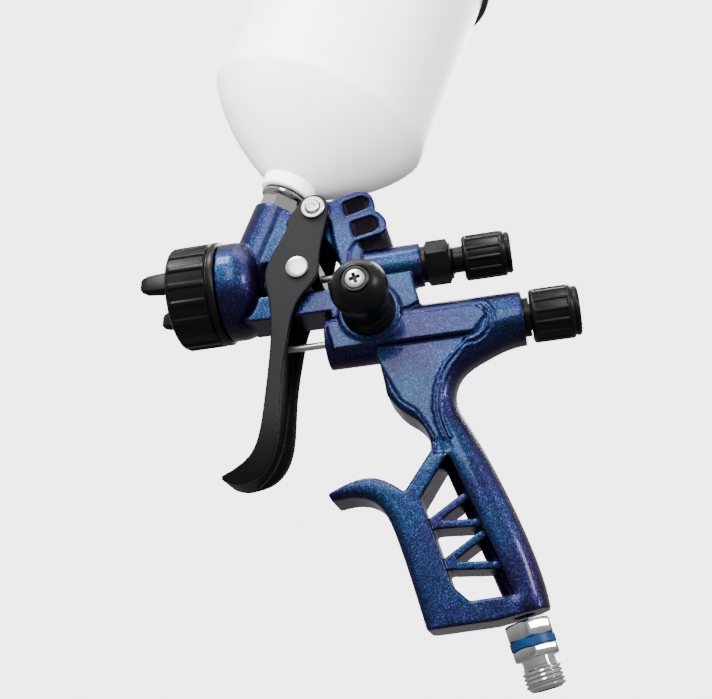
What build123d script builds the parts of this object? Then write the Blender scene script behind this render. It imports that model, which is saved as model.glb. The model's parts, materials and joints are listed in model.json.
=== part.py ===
"""HVLP gravity-feed spray gun with a screw-on cup, as an assembly of separate pieces.

Frame: origin in the middle of the air inlet's outside thread, +X towards the painter (rear),
+Y to the gun's right-hand side, +Z up.  Stations written (x, z) are measured from the head
datum, a point on the needle's axis.  Millimetres.
"""
from build123d import *
import math
import os

os.makedirs("parts", exist_ok=True)

# ---- driving dimensions -------------------------------------------------------------------
# fits
slip = 0.05            # radial clearance of a turning or sliding fit
gap = 0.4              # clearance between pieces that pass one another
grip_gap = 0.5         # trigger cheek to body

# air inlet stack, from the thread upwards
inlet_lean = 10.7      # degrees the inlet leans from plumb
inlet_r = 6.58         # G1/4 outside thread
inlet_len = 7.5
inlet_neck_r = 5.4
inlet_neck_len = 2.6
lower_hex_len = 3.4
band_len = 2.8
upper_hex_len = 5.4
inlet_hex_af = 14.6
band_r = 7.6
air_bore_r = 3.6

# grip
grip_drop = 134.8      # needle axis down to the grip's lowest edge
grip_half = 10.0       # half the grip's width
web_half = 8.4         # half the web's width, inside the grip's rounded bars
grip_front = 17.4      # station of the grip's front bottom corner
grip_rear = 57.8       # station of the grip's rear bottom corner
heel_rise = 4.3        # rear bottom corner above the front one
back_round = 8.5       # rounding of the grip's rear bar
nose_round = 2.8       # rounding along the front bar and the finger hook
throat_round = 2.4
duct_r = 5.0           # air duct seen inside the grip's windows
rib = 2.8              # width of the grip's ribs

# head
head_r = 19.0
head_back = -43.2      # the head's full diameter ends here
head_face = -48.2      # shoulder that the ring runs up to
spigot_r = 16.9
spigot_len = 9.2
core_half = 10.8       # half the width of the body between the trigger's cheeks
fluid_bore_r = 4.6

# nozzle set
ring_r = 20.25
ring_len = 19.0
ring_wall = 2.4
ring_mouth_r = 15.0
ring_lip = 2.6
cap_r = 17.2
cap_front = -68.0
horn_reach = 11.4      # horn tip ahead of the cap's face
horn_y = 13.2
horn_tilt = 12.0       # degrees that the horns are turned up on the left
nozzle_r = 5.6
nozzle_tip_r = 2.2

# cup and its inlet
cup_lean = 25.0        # degrees the cup leans back
cup_foot_x = -23.7     # the cup axis crosses this station ...
cup_foot_z = 38.1      # ... at this height: the top of the adapter's flange
spout_r = 9.6          # painted inlet tube on the head
adapter_hex_af = 14.4
adapter_hex_len = 6.2
flange_r = 9.5
flange_len = 1.6
cup_r = 44.5
cup_wall = 1.8
cup_neck_r = 11.0
cup_neck_len = 6.0
cup_shoulder = 34.0    # cup foot up to where the wall turns straight
cup_height = 126.0
lid_len = 15.6
lid_wall = 2.0
lid_skirt = 2.1

# trigger
pivot_x = -10.2
pivot_z = 24.0
pin_r = 2.4
boss_r = 5.8
cheek = 1.8            # thickness of the trigger's cheeks
link_x = -17.7         # cross pin that draws the needle
link_r = 2.5
rivet_r = 4.35

# needle line
needle_r = 1.5
sleeve_r = 8.35        # painted tube behind the trigger
sleeve_front = 0.5
sleeve_end = 28.0
sleeve_gap = 1.4       # the nut stands this far off the tube
nut_af = 14.8
nut_len = 8.9
neck_r = 4.9
neck_end = 43.4
knob_r = 8.5
knob_len = 16.0
knob_cap = 1.8

# air valve line
valve_drop = 27.0      # valve axis below the needle axis
tube_r = 9.9
tube_front = -10.0
tube_end = 62.4
stem_r = 1.35
micro_gap = 2.6        # sleeve seen between the tube and its knob
micro_r = 7.2
air_knob_r = 9.8
air_knob_len = 15.4
air_knob_cap_len = 1.9

# fan control
fan_x = 7.6
fan_z = -20.4
fan_base_y = -11.4
collar_r = 9.9
collar_len = 5.4
fan_knob_r = 10.4
fan_knob_foot_r = 8.2  # the knob draws in towards its collar
fan_knob_end = -38.2
screw_r = 3.6

# ---- frame helpers -------------------------------------------------------------------------
inlet_stack = inlet_len / 2 + inlet_neck_len + lower_hex_len + band_len + upper_hex_len
lean_in = math.radians(inlet_lean)
inlet_foot_x = 49.3    # where the inlet's axis leaves the grip, from the head datum
head_x = -inlet_foot_x - inlet_stack * math.sin(lean_in)
head_z = inlet_stack * math.cos(lean_in) + grip_drop - 0.75
lean_cup = math.radians(cup_lean)
packing_r = 4.2
# the packing nut stands behind the inlet tube
packing_front = cup_foot_x - (cup_foot_z - packing_r) * math.tan(lean_cup) + spout_r / math.cos(lean_cup)
cup_dir = Vector(math.sin(lean_cup), 0, math.cos(lean_cup))
needle_axis = Axis((head_x, 0, head_z), (1, 0, 0))
cup_axis = Axis((head_x + cup_foot_x, 0, head_z + cup_foot_z), cup_dir)


def side(y=0.0):
    """Plane facing the gun's left: local x is the station, local y the height."""
    return Plane(origin=(head_x, y, head_z), x_dir=(1, 0, 0), z_dir=(0, -1, 0))


def across(x, z=0.0):
    """Plane across the barrel at station x: local x is Y, local y the height."""
    return Plane(origin=(head_x + x, 0, head_z + z), x_dir=(0, 1, 0), z_dir=(1, 0, 0))


def up_cup(s):
    """Plane across the cup's axis, s above the adapter's flange."""
    foot = Vector(head_x + cup_foot_x, 0, head_z + cup_foot_z)
    return Plane(origin=foot + cup_dir * s, x_dir=(math.cos(lean_cup), 0, -math.sin(lean_cup)),
                 z_dir=cup_dir)


def up_inlet(s):
    """Plane across the air inlet's axis, s above the middle of its thread."""
    up = Vector(-math.sin(lean_in), 0, math.cos(lean_in))
    return Plane(origin=up * s, x_dir=(math.cos(lean_in), 0, math.sin(lean_in)), z_dir=up)


def cup_profile():
    """Plane through the cup's axis: local x is the radius, local y the height up the cup."""
    return Plane(origin=(head_x + cup_foot_x, 0, head_z + cup_foot_z),
                 x_dir=(math.cos(lean_cup), 0, -math.sin(lean_cup)), z_dir=(0, -1, 0))


def finish(piece, name):
    """Label a finished piece and write it."""
    piece.part.label = name
    export_step(piece.part, f"parts/{name}.step")


# ---- gun body: one forging -----------------------------------------------------------------
low = -grip_drop
heel = low + heel_rise
tube_low = -valve_drop - tube_r
flat_top = -valve_drop + 3.1   # the lower tube's flat flanks run between these heights
flat_low = -valve_drop - 6.2
finger = -88.5         # height of the finger hook's root
hook_root = (14.2, finger)
grip_back = (head_x + 42.5, 0, head_z - 75.3)
grip_nose = (head_x + 10.5, 0, head_z - 105.5)
grip_throat = (head_x + 14.1, 0, head_z - 57.2)
upper_loop = ((0.2, 26.5), (7.9, 28.3), (10.4, 26.6), (10.4, 23.0), (1.4, 20.7))
lower_loop = ((2.8, 17.6), (11.2, 19.3), (13.6, 16.8), (13.4, 13.8), (11.6, 12.6), (4.0, 11.2))

with BuildPart() as grip_blank:
    with BuildSketch(side()):
        with BuildLine():
            Line((tube_end, -valve_drop), (tube_end, tube_low))
            Spline((tube_end, tube_low), (47.6, -40.9), (37.6, -47.4), (34.9, -54.5), (38.0, -65.0),
                   tangents=((-1, -0.02), (0.42, -0.9)))
            Spline((38.0, -65.0), (48.3, -91.0), (grip_rear - 2.2, heel + 14.9), (grip_rear, heel),
                   tangents=((0.42, -0.9), (0.05, -1)))
            Line((grip_rear, heel), (grip_rear - 17.5, low + 1.0))
            Line((grip_rear - 17.5, low + 1.0), (grip_front, low))
            Spline((grip_front, low), (10.4, -104.5), (7.6, -96.2), (3.8, -90.8), (-2.0, -88.3), (-11.2, -88.6),
                   tangents=((-0.22, 1), (-1, -0.1)))
            Line((-11.2, -88.6), (-12.2, -86.2))
            Spline((-12.2, -86.2), (-3.0, -82.7), (5.0, -82.6), (10.4, -85.3), hook_root,
                   tangents=((1, 0.45), (0.75, -0.8)))
            Line(hook_root, (24.3, -75.6))
            Spline((24.3, -75.6), (24.6, -70.9), (20.0, -62.6), (15.8, -59.2), (12.3, -54.6), (8.5, -35.8),
                   tangents=((0.3, 1), (-0.2, 1)))
            Line((8.5, -35.8), (8.5, -valve_drop))
            Line((8.5, -valve_drop), (tube_end, -valve_drop))
        make_face()
    extrude(amount=grip_half, both=True)
    for place, radius in ((grip_back, back_round), (grip_nose, nose_round), (grip_throat, throat_round)):
        flank_edges = grip_blank.edges().filter_by(lambda e: abs(abs(e.center().Y) - grip_half) < 0.01)
        fillet(flank_edges.sort_by_distance(place)[:2], radius=radius)

with BuildPart() as gun_body:
    add(grip_blank.part)
    # head, spigot and the waist behind the head
    with BuildSketch(side()):
        with BuildLine():
            Polyline((head_face - spigot_len, 0), (head_face - spigot_len, spigot_r), (head_face, spigot_r),
                     (head_face, head_r), (head_back, head_r))
            ThreePointArc((head_back, head_r), (head_back + 6.0, head_r - 2.6), (head_back + 9.0, head_r - 9.5))
            Line((head_back + 9.0, head_r - 9.5), (head_back + 9.0, 0))
            Line((head_back + 9.0, 0), (head_face - spigot_len, 0))
        make_face()
    revolve(axis=needle_axis)
    # inlet tube for the cup
    with BuildSketch(up_cup(-adapter_hex_len - flange_len - 40.0)):
        Circle(spout_r)
    extrude(amount=40.0)
    # boss that the needle's packing nut screws into
    with BuildSketch(across(head_back + 6.0)):
        Circle(packing_r + 0.8)
    extrude(amount=packing_front - head_back - 6.0)
    # bridge between the trigger's cheeks: lower bar, upper link and the hook's column
    with BuildSketch(side()):
        with BuildLine():
            Polyline((head_back + 4.0, -16.8), (tube_front + 3.0, -17.2), (tube_front + 3.0, -20.0),
                     (22.0, -20.0), (26.0, -18.0), (24.6, -9.5), (24.2, -6.0), (sleeve_front, -6.0),
                     (sleeve_front - 3.4, -8.4), (head_back + 4.0, -7.4), close=True)
        make_face()
        with BuildLine():
            Polyline((head_back + 6.0, 6.5), (-24.0, 6.5), (-17.0, 17.0), (-8.6, 15.0), (sleeve_front - 1.0, 1.0),
                     (sleeve_front + 2.0, -7.0), (sleeve_front + 6.5, 6.0), (sleeve_front + 3.0, 12.0),
                     (1.0, 20.0), (-5.0, 29.0), (-12.0, 29.4), (-18.6, 26.2), (-24.0, 28.0), (-34.0, 20.0), close=True)
        make_face()
    extrude(amount=core_half - 2.4, both=True)
    with BuildSketch(side()):
        with Locations((pivot_x, pivot_z)):
            Circle(boss_r)
    extrude(amount=core_half, both=True)
    # hanging hook: two stacked loops on a column
    with BuildSketch(side()):
        with BuildLine():
            Line((-5.6, 28.0), (5.1, 30.5))
            Spline((5.1, 30.5), (8.7, 30.3), (11.7, 28.2), (12.8, 24.8), (12.7, 21.2),
                   tangents=((1, 0.2), (-0.2, -1)))
            Spline((12.7, 21.2), (14.8, 19.6), (16.6, 16.4), (16.5, 12.9), (14.3, 11.0),
                   tangents=((1, -0.3), (-1, -0.35)))
            Polyline((14.3, 11.0), (3.8, 9.2), (1.6, 5.6), (1.0, 0.0), (-2.0, 0.0), (-3.8, 10.6), (-5.6, 28.0))
        make_face()
        with BuildLine():
            Polyline(*upper_loop, close=True)
        make_face(mode=Mode.SUBTRACT)
        with BuildLine():
            Polyline(*lower_loop, close=True)
        make_face(mode=Mode.SUBTRACT)
    extrude(amount=grip_half - 0.6, both=True)
    # upper tube round the needle's spring
    with BuildSketch(across(sleeve_front)):
        Circle(sleeve_r)
    extrude(amount=sleeve_end - sleeve_front)
    # lower tube round the air valve, flat-sided ahead of the grip
    with BuildSketch(across(tube_front, -valve_drop)):
        Circle(tube_r)
    extrude(amount=tube_end - tube_front)
    with BuildSketch(side()):
        with BuildLine():
            Polyline((tube_front + 1.6, flat_top), (46.0, flat_top), (50.0, -valve_drop), (44.0, flat_low),
                     (tube_front + 3.4, flat_low), close=True)
        make_face()
    extrude(amount=core_half - 0.2, both=True)
    # round seat of the fan control, on the left flank
    with BuildSketch(side(fan_base_y)):
        with Locations((fan_x, fan_z)):
            Circle(collar_r + 1.6)
    extrude(amount=fan_base_y + 2.0)
    # web pockets on both flanks of the grip
    for flank in (-1, 1):
        with BuildSketch(side(flank * (web_half + grip_half) / 2)):
            with BuildLine():
                Polyline((8.0, -34.0), (44.0, -34.0), (36.0, -41.0), (29.8, -49.2), (28.6, -60.5), (32.7, -76.0),
                         (25.5, -76.5), (26.5, -70.0), (21.0, -59.5), (16.0, -55.5), (9.0, -40.0), close=True)
            make_face()
        extrude(amount=(grip_half - web_half) / 2, both=True, mode=Mode.SUBTRACT)
    # window through the grip, with its ribs and the air duct left standing
    with BuildSketch(side()):
        with BuildLine():
            Polyline((30.4, -76.6), (grip_rear - 10.6, heel + 4.5), (grip_front + 15.0, low + 8.0),
                     (grip_front + 9.6, low + 13.6), (22.4, -102.0), (19.4, -91.8), close=True)
        make_face()
    extrude(amount=grip_half + 1.0, both=True, mode=Mode.SUBTRACT)
    with BuildSketch(side()):
        for start, end in (((20.6, -100.4), (38.6, -89.4)), ((20.6, -100.4), (42.6, -101.4)),
                           ((24.0, -114.4), (43.0, -102.8)), ((24.0, -114.4), (46.8, -116.2))):
            run = Vector(*end) - Vector(*start)
            turn = math.degrees(math.atan2(run.Y, run.X))
            with Locations(Location(((start[0] + end[0]) / 2, (start[1] + end[1]) / 2), turn)):
                Rectangle(run.length, rib)
    extrude(amount=web_half - 0.6, both=True)
    duct_low = Vector(head_x + inlet_foot_x - 1.2, 0, head_z + low + 8.0)
    duct_top = Vector(head_x + 30.4, 0, head_z - 70.0)
    duct_run = duct_top - duct_low
    with BuildSketch(Plane(origin=duct_low, z_dir=duct_run)):
        Circle(duct_r)
    extrude(amount=duct_run.length)
    # bores: paint, needle, valve, fan spindle and air
    with BuildSketch(up_cup(-adapter_hex_len - flange_len)):
        Circle(fluid_bore_r)
    extrude(amount=-42.0, mode=Mode.SUBTRACT)
    with BuildSketch(across(head_face - spigot_len)):
        Circle(nozzle_r + 5.0)
        Circle(nozzle_r, mode=Mode.SUBTRACT)
    extrude(amount=spigot_len + 2.0, mode=Mode.SUBTRACT)
    with BuildSketch(across(head_face - spigot_len)):
        Circle(nozzle_r - 1.5)
    extrude(amount=22.0, mode=Mode.SUBTRACT)
    with BuildSketch(across(head_face - spigot_len)):
        Circle(needle_r + gap)
    extrude(amount=sleeve_end - head_face + spigot_len, mode=Mode.SUBTRACT)
    with BuildSketch(across(sleeve_front + 7.0)):
        Circle(sleeve_r - 2.2)
    extrude(amount=sleeve_end - sleeve_front - 7.0, mode=Mode.SUBTRACT)
    with BuildSketch(across(tube_front, -valve_drop)):
        Circle(stem_r + gap)
    extrude(amount=20.0, mode=Mode.SUBTRACT)
    with BuildSketch(across(tube_front, -valve_drop)):
        Circle(4.4)
    extrude(amount=7.0, mode=Mode.SUBTRACT)
    with BuildSketch(across(tube_front + 14.0, -valve_drop)):
        Circle(micro_r - 0.6)
    extrude(amount=tube_end - tube_front - 14.0, mode=Mode.SUBTRACT)
    with BuildSketch(side(fan_base_y)):
        with Locations((fan_x, fan_z)):
            Circle(4.2)
    extrude(amount=-10.0, mode=Mode.SUBTRACT)
    with BuildSketch(up_inlet(inlet_stack - 1.0)):
        Circle(air_bore_r)
    extrude(amount=12.0, mode=Mode.SUBTRACT)
    with BuildSketch(side()):
        with Locations((pivot_x, pivot_z)):
            Circle(pin_r)
    extrude(amount=core_half + 1.0, both=True, mode=Mode.SUBTRACT)
finish(gun_body, "gun_body")

# ---- nozzle set ----------------------------------------------------------------------------
spigot_front = head_face - spigot_len
ring_front = head_face - gap - ring_len
lip_back = ring_front + ring_lip
flange_front = lip_back + gap
flange_back = flange_front + 2.4

with BuildPart() as fluid_nozzle:
    with BuildSketch(side()):
        with BuildLine():
            Polyline((spigot_front + 10.0, needle_r + 0.7), (spigot_front + 10.0, nozzle_r - 1.5 - slip),
                     (spigot_front, nozzle_r - 1.5 - slip), (spigot_front, nozzle_r + 1.6),
                     (spigot_front - 3.0, nozzle_r + 1.6), (spigot_front - 6.0, nozzle_tip_r + 1.6),
                     (cap_front - 0.5, nozzle_tip_r), (cap_front - 0.5, 1.2), (cap_front + 4.0, needle_r + 0.7),
                     close=True)
        make_face()
    revolve(axis=needle_axis)
finish(fluid_nozzle, "fluid_nozzle")

with BuildPart() as air_distributor:
    with BuildSketch(across(spigot_front - 1.6)):
        Circle(nozzle_r + 6.6)
        Circle(nozzle_r + 1.6 + slip, mode=Mode.SUBTRACT)
        with PolarLocations(nozzle_r + 4.2, 10):
            Circle(1.3, mode=Mode.SUBTRACT)
    extrude(amount=1.6)
finish(air_distributor, "air_distributor")

with BuildPart() as cap_seal:
    with BuildSketch(across(spigot_front - 1.6)):
        Circle(spigot_r - 0.5)
        Circle(nozzle_r + 6.6 + gap, mode=Mode.SUBTRACT)
    extrude(amount=1.6)
finish(cap_seal, "cap_seal")

tilt = math.radians(horn_tilt)
with BuildPart() as air_cap:
    with BuildSketch(side()):
        with BuildLine():
            Polyline((flange_back, spigot_r - 3.4), (flange_back, cap_r), (flange_front, cap_r),
                     (flange_front, ring_mouth_r - 0.5), (cap_front + 1.2, ring_mouth_r - 0.5),
                     (cap_front, ring_mouth_r - 2.2), (cap_front, nozzle_tip_r + 0.7),
                     (cap_front + 1.4, nozzle_tip_r + 0.7), (cap_front + 4.4, spigot_r - 5.4), close=True)
        make_face()
    revolve(axis=needle_axis)
    for out_y, out_z in ((-math.cos(tilt), math.sin(tilt)), (math.cos(tilt), -math.sin(tilt))):
        with BuildSketch(Plane(origin=(head_x, 0, head_z), x_dir=(1, 0, 0), z_dir=(0, -out_z, out_y))):
            with BuildLine():
                Polyline((cap_front + 1.0, 9.4), (cap_front + 1.0, horn_y + 0.4),
                         (cap_front - horn_reach + 2.4, horn_y + 0.4), (cap_front - horn_reach, horn_y - 1.2),
                         (cap_front - horn_reach, horn_y - 2.2), (cap_front - 6.0, 9.6), close=True)
            make_face()
        extrude(amount=4.5, both=True)
finish(air_cap, "air_cap")

with BuildPart() as air_cap_ring:
    with BuildSketch(side()):
        with BuildLine():
            Polyline((head_face - gap, ring_r - ring_wall), (head_face - gap, ring_r - 0.8),
                     (head_face - gap - 1.6, ring_r), (ring_front + 1.2, ring_r), (ring_front, ring_r - 1.4),
                     (ring_front, ring_mouth_r), (lip_back, ring_mouth_r), (lip_back, ring_r - ring_wall),
                     close=True)
        make_face()
    revolve(axis=needle_axis)
    with BuildSketch(across(ring_front)):
        with PolarLocations(ring_r + 0.5, 18):
            Rectangle(2.0, 1.5)
    extrude(amount=ring_len - 3.2, mode=Mode.SUBTRACT)
finish(air_cap_ring, "air_cap_ring")

# ---- cup, adapter and lid ------------------------------------------------------------------
with BuildPart() as cup_adapter:
    with BuildSketch(up_cup(-adapter_hex_len - flange_len)):
        RegularPolygon(adapter_hex_af / 2, 6, major_radius=False)
    extrude(amount=adapter_hex_len)
    with BuildSketch(up_cup(-flange_len)):
        Circle(flange_r)
    extrude(amount=flange_len)
    with BuildSketch(up_cup(-adapter_hex_len - flange_len - 9.0)):
        Circle(fluid_bore_r - slip)
    extrude(amount=9.0)
    with BuildSketch(up_cup(0)):
        Circle(cup_neck_r - 4.0)
    extrude(amount=cup_neck_len)
    with BuildSketch(up_cup(-20.0)):
        Circle(fluid_bore_r - 1.4)
    extrude(amount=20.0 + cup_neck_len, mode=Mode.SUBTRACT)
finish(cup_adapter, "cup_adapter")

with BuildPart() as cup_seal:
    with BuildSketch(up_cup(0)):
        Circle(flange_r - 0.4)
        Circle(cup_neck_r - 4.0 + slip, mode=Mode.SUBTRACT)
    extrude(amount=0.8)
finish(cup_seal, "cup_seal")

cup_foot = 0.8 + gap
neck_bore = cup_neck_r - 4.0 + gap
with BuildPart() as cup:
    with BuildSketch(cup_profile()):
        with BuildLine():
            Polyline((neck_bore, cup_neck_len + 2.6), (neck_bore, cup_foot), (cup_neck_r, cup_foot),
                     (cup_neck_r, cup_neck_len + 1.4))
            Spline((cup_neck_r, cup_neck_len + 1.4), (cup_neck_r + 12.0, 15.6), (cup_r - 6.0, cup_shoulder - 7.6),
                   (cup_r, cup_shoulder + 4.0), tangents=((0.5, 0.5), (0, 1)))
            Line((cup_r, cup_shoulder + 4.0), (cup_r, cup_height))
            Line((cup_r, cup_height), (cup_r - cup_wall, cup_height))
            Line((cup_r - cup_wall, cup_height), (cup_r - cup_wall, cup_shoulder + 4.6))
            Spline((cup_r - cup_wall, cup_shoulder + 4.6), (cup_r - 7.6, cup_shoulder - 6.4),
                   (cup_neck_r + 11.0, 17.4), (neck_bore, cup_neck_len + 2.6), tangents=((0, -1), (-0.6, -0.5)))
        make_face()
    revolve(axis=cup_axis)
finish(cup, "cup")

with BuildPart() as cup_strainer:
    with BuildSketch(up_cup(cup_neck_len + gap)):
        Circle(neck_bore - slip)
    extrude(amount=1.6)
    with BuildSketch(up_cup(cup_neck_len + gap + 1.6)):
        Circle(neck_bore - 1.8)
    extrude(amount=12.0, taper=4.0)
    with BuildSketch(up_cup(cup_neck_len + gap)):
        Circle(neck_bore - 3.6)
    extrude(amount=12.4, mode=Mode.SUBTRACT)
finish(cup_strainer, "cup_strainer")

lid_r = cup_r + gap + lid_skirt
lid_low = cup_height + 0.6 + lid_wall + 1.0 - lid_len
lid_top = lid_low + lid_len
vent_r = 2.6
with BuildPart() as cup_lid:
    with BuildSketch(up_cup(lid_low)):
        Circle(lid_r)
    extrude(amount=lid_len)
    fillet(cup_lid.faces().sort_by(cup_axis)[-1].edges(), radius=1.4)
    with BuildSketch(up_cup(lid_low)):
        Circle(cup_r + gap)
    extrude(amount=lid_len - lid_wall, mode=Mode.SUBTRACT)
    with BuildSketch(up_cup(lid_top)):
        Circle(9.0)
    extrude(amount=1.6)
    with BuildSketch(up_cup(lid_low)):
        Circle(vent_r)
    extrude(amount=lid_len + 2.0, mode=Mode.SUBTRACT)
finish(cup_lid, "cup_lid")

with BuildPart() as lid_gasket:
    with BuildSketch(up_cup(lid_top - lid_wall - 0.6)):
        Circle(cup_r + gap - slip)
        Circle(cup_r - cup_wall - 2.2, mode=Mode.SUBTRACT)
    extrude(amount=0.6)
finish(lid_gasket, "lid_gasket")

with BuildPart() as vent_plug:
    with BuildSketch(up_cup(lid_top + 1.6 + gap)):
        Circle(6.0)
    extrude(amount=2.6)
    with BuildSketch(up_cup(lid_top - lid_wall - 2.0)):
        Circle(vent_r - slip)
    extrude(amount=lid_wall + 2.0 + 1.6 + gap)
finish(vent_plug, "vent_plug")

# ---- trigger -------------------------------------------------------------------------------
cheek_in = core_half + grip_gap
cheek_out = cheek_in + cheek
trigger_tip_x = -50.4

# front views of the trigger and of its channel, drawing in towards the finger tip
front_views = []
for half in (cheek_out, cheek_in):
    tip = half - cheek_out + 7.0
    with BuildPart() as front_view:
        with BuildSketch(across(trigger_tip_x - 1.0)):
            with BuildLine():
                for flank in (1, -1):
                    Polyline((0, 40.0), (flank * half, 40.0), (flank * half, -50.0))
                    Spline((flank * half, -50.0), (flank * (tip + 5.6), -63.0), (flank * (tip + 3.7), -71.0),
                           (flank * tip, -78.6), tangents=((0, -1), (-0.55 * flank, -0.85)))
                    Line((flank * tip, -78.6), (0, -79.4))
            make_face()
        extrude(amount=60.0)
    front_views.append(front_view.part)

with BuildPart() as trigger_channel:
    # open to the rear below the head and all through above it; it runs out before the tip
    with BuildSketch(side()):
        with BuildLine():
            Polyline((-26.8, -22.0), (-28.2, -36.7), (-30.4, -51.5), (-32.4, -62.2), (-35.2, -69.6),
                     (-38.0, -74.0), (-41.5, -78.4), (-41.5, -84.0), (-5.0, -84.0), (0.0, 36.0),
                     (-36.0, 36.0), (-36.0, -20.0), (-26.8, -20.0), close=True)
        make_face()
    extrude(amount=cheek_in, both=True)
    add(front_views[1], mode=Mode.INTERSECT)

with BuildPart() as trigger:
    with BuildSketch(side()):
        with BuildLine():
            ThreePointArc((pivot_x - 4.9, pivot_z + 3.6), (pivot_x, pivot_z + boss_r + 0.2),
                          (pivot_x + 5.5, pivot_z - 1.8))
            Spline((pivot_x + 5.5, pivot_z - 1.8), (-7.2, 12.6), (-9.3, 2.6), (-10.4, -3.6), (-17.6, -12.4),
                   (-22.2, -25.0), (-25.6, -42.0), (-27.2, -57.0), (-29.0, -66.8), (-31.7, -72.6),
                   (-35.4, -76.2), (-40.4, -77.9), (-45.4, -78.2), (trigger_tip_x, -76.2),
                   tangents=((-0.2, -1), (-0.9, 0.42)))
            Line((trigger_tip_x, -76.2), (trigger_tip_x + 0.2, -75.0))
            Spline((trigger_tip_x + 0.2, -75.0), (-44.0, -72.5), (-38.3, -68.4), (-34.8, -61.4), (-32.6, -50.8),
                   (-30.4, -36.7), (-28.9, -22.0), (-29.4, -10.0), (-30.3, -1.6), (-27.5, 6.5), (-20.7, 18.0),
                   (pivot_x - 4.9, pivot_z + 3.6), tangents=((0.9, 0.3), (0.7, 0.8)))
        make_face()
    extrude(amount=cheek_out, both=True)
    add(front_views[0], mode=Mode.INTERSECT)
    add(trigger_channel.part, mode=Mode.SUBTRACT)
    with BuildSketch(side()):
        with Locations((pivot_x, pivot_z)):
            Circle(pin_r + slip)
        with Locations((link_x, 0)):
            Circle(link_r)
    extrude(amount=cheek_out + 1.0, both=True, mode=Mode.SUBTRACT)
finish(trigger, "trigger")

with BuildPart() as trigger_rivets:
    for flank in (-1, 1):
        with BuildSketch(side(flank * cheek_out)):
            with Locations((link_x, 0)):
                Circle(rivet_r)
        extrude(amount=-flank * 1.3)
        with BuildSketch(side(flank * 5.2)):
            with Locations((link_x, 0)):
                Circle(link_r)
        extrude(amount=-flank * (cheek_out - 5.2))
finish(trigger_rivets, "trigger_rivets")

with BuildPart() as pivot_pin:
    with BuildSketch(side()):
        with Locations((pivot_x, pivot_z)):
            Circle(pin_r)
    extrude(amount=cheek_out + 2.2, both=True)
finish(pivot_pin, "pivot_pin")

with BuildPart() as pivot_clips:
    for flank in (-1, 1):
        with BuildSketch(side(flank * (cheek_out + gap))):
            with Locations((pivot_x, pivot_z)):
                Circle(pin_r + 2.1)
                Circle(pin_r, mode=Mode.SUBTRACT)
        extrude(amount=-flank * 0.9)
finish(pivot_clips, "pivot_clips")

# ---- needle line ---------------------------------------------------------------------------
yoke_front = link_x + link_r + gap
needle_tail = neck_end + 3.0   # drawn, it still stays inside the knob's bore
with BuildPart() as fluid_needle:
    with BuildSketch(side()):
        with BuildLine():
            Polyline((cap_front, 0), (cap_front, 0.6), (cap_front + 4.4, needle_r), (needle_tail, needle_r),
                     (needle_tail, 0), close=True)
        make_face()
    revolve(axis=needle_axis)
finish(fluid_needle, "fluid_needle")

with BuildPart() as needle_yoke:
    with BuildSketch(across(yoke_front)):
        RectangleRounded(16.4, 7.0, 1.5)
        Circle(needle_r, mode=Mode.SUBTRACT)
    extrude(amount=4.4)
finish(needle_yoke, "needle_yoke")

nut_front = sleeve_end + sleeve_gap
nut_back = nut_front + nut_len
cavity_front = sleeve_front + 7.0
cavity_r = sleeve_r - 2.2
collar_front = cavity_front + 1.0
with BuildPart() as needle_collar:
    with BuildSketch(across(collar_front)):
        Circle(cavity_r - gap)
        Circle(needle_r, mode=Mode.SUBTRACT)
    extrude(amount=2.8)
finish(needle_collar, "needle_collar")

with BuildPart() as needle_spring:
    with BuildSketch(across(collar_front + 2.8)):
        Circle(cavity_r - 2.4)
        Circle(needle_r + 0.7, mode=Mode.SUBTRACT)
    extrude(amount=nut_back - 2.6 - collar_front - 2.8)
finish(needle_spring, "needle_spring")

with BuildPart() as packing_nut:
    with BuildSketch(across(packing_front)):
        RegularPolygon(packing_r, 6)
        Circle(needle_r + gap, mode=Mode.SUBTRACT)
    extrude(amount=3.2)
finish(packing_nut, "packing_nut")

neck_stub = neck_end + 8.6
with BuildPart() as needle_nut:
    with BuildSketch(across(nut_front)):
        RegularPolygon(nut_af / 2, 6, major_radius=False)
    extrude(amount=nut_len)
    with BuildSketch(across(sleeve_end)):
        Circle(sleeve_r - 0.9)
    extrude(amount=sleeve_gap)
    with BuildSketch(across(sleeve_end - 5.0)):
        Circle(cavity_r - slip)
    extrude(amount=5.0)
    with BuildSketch(across(nut_back)):
        Circle(neck_r)
    extrude(amount=neck_stub - nut_back)
    with BuildSketch(across(sleeve_end - 5.0)):
        Circle(cavity_r - 1.6)
    extrude(amount=nut_back - 2.6 - sleeve_end + 5.0, mode=Mode.SUBTRACT)
    with BuildSketch(across(nut_front)):
        Circle(needle_r + gap)
    extrude(amount=neck_stub - nut_front, mode=Mode.SUBTRACT)
finish(needle_nut, "needle_nut")

knob_end = neck_end + knob_len
with BuildPart() as fluid_knob:
    with BuildSketch(across(neck_end)):
        Circle(knob_r)
    extrude(amount=knob_len)
    chamfer(fluid_knob.edges().filter_by(GeomType.CIRCLE), length=0.6)
    with BuildSketch(across(neck_end)):
        Circle(neck_r + slip)
    extrude(amount=neck_stub - neck_end + gap, mode=Mode.SUBTRACT)
    with BuildSketch(across(neck_end + 2.0)):
        with PolarLocations(knob_r + 0.5, 20):
            Rectangle(1.6, 1.3)
    extrude(amount=knob_len - 4.0, mode=Mode.SUBTRACT)
finish(fluid_knob, "fluid_knob")

with BuildPart() as fluid_knob_cap:
    with BuildSketch(across(knob_end)):
        Circle(knob_r - 0.9)
    extrude(amount=knob_cap)
    chamfer(fluid_knob_cap.faces().sort_by(Axis.X)[-1].edges(), length=0.5)
finish(fluid_knob_cap, "fluid_knob_cap")

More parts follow.
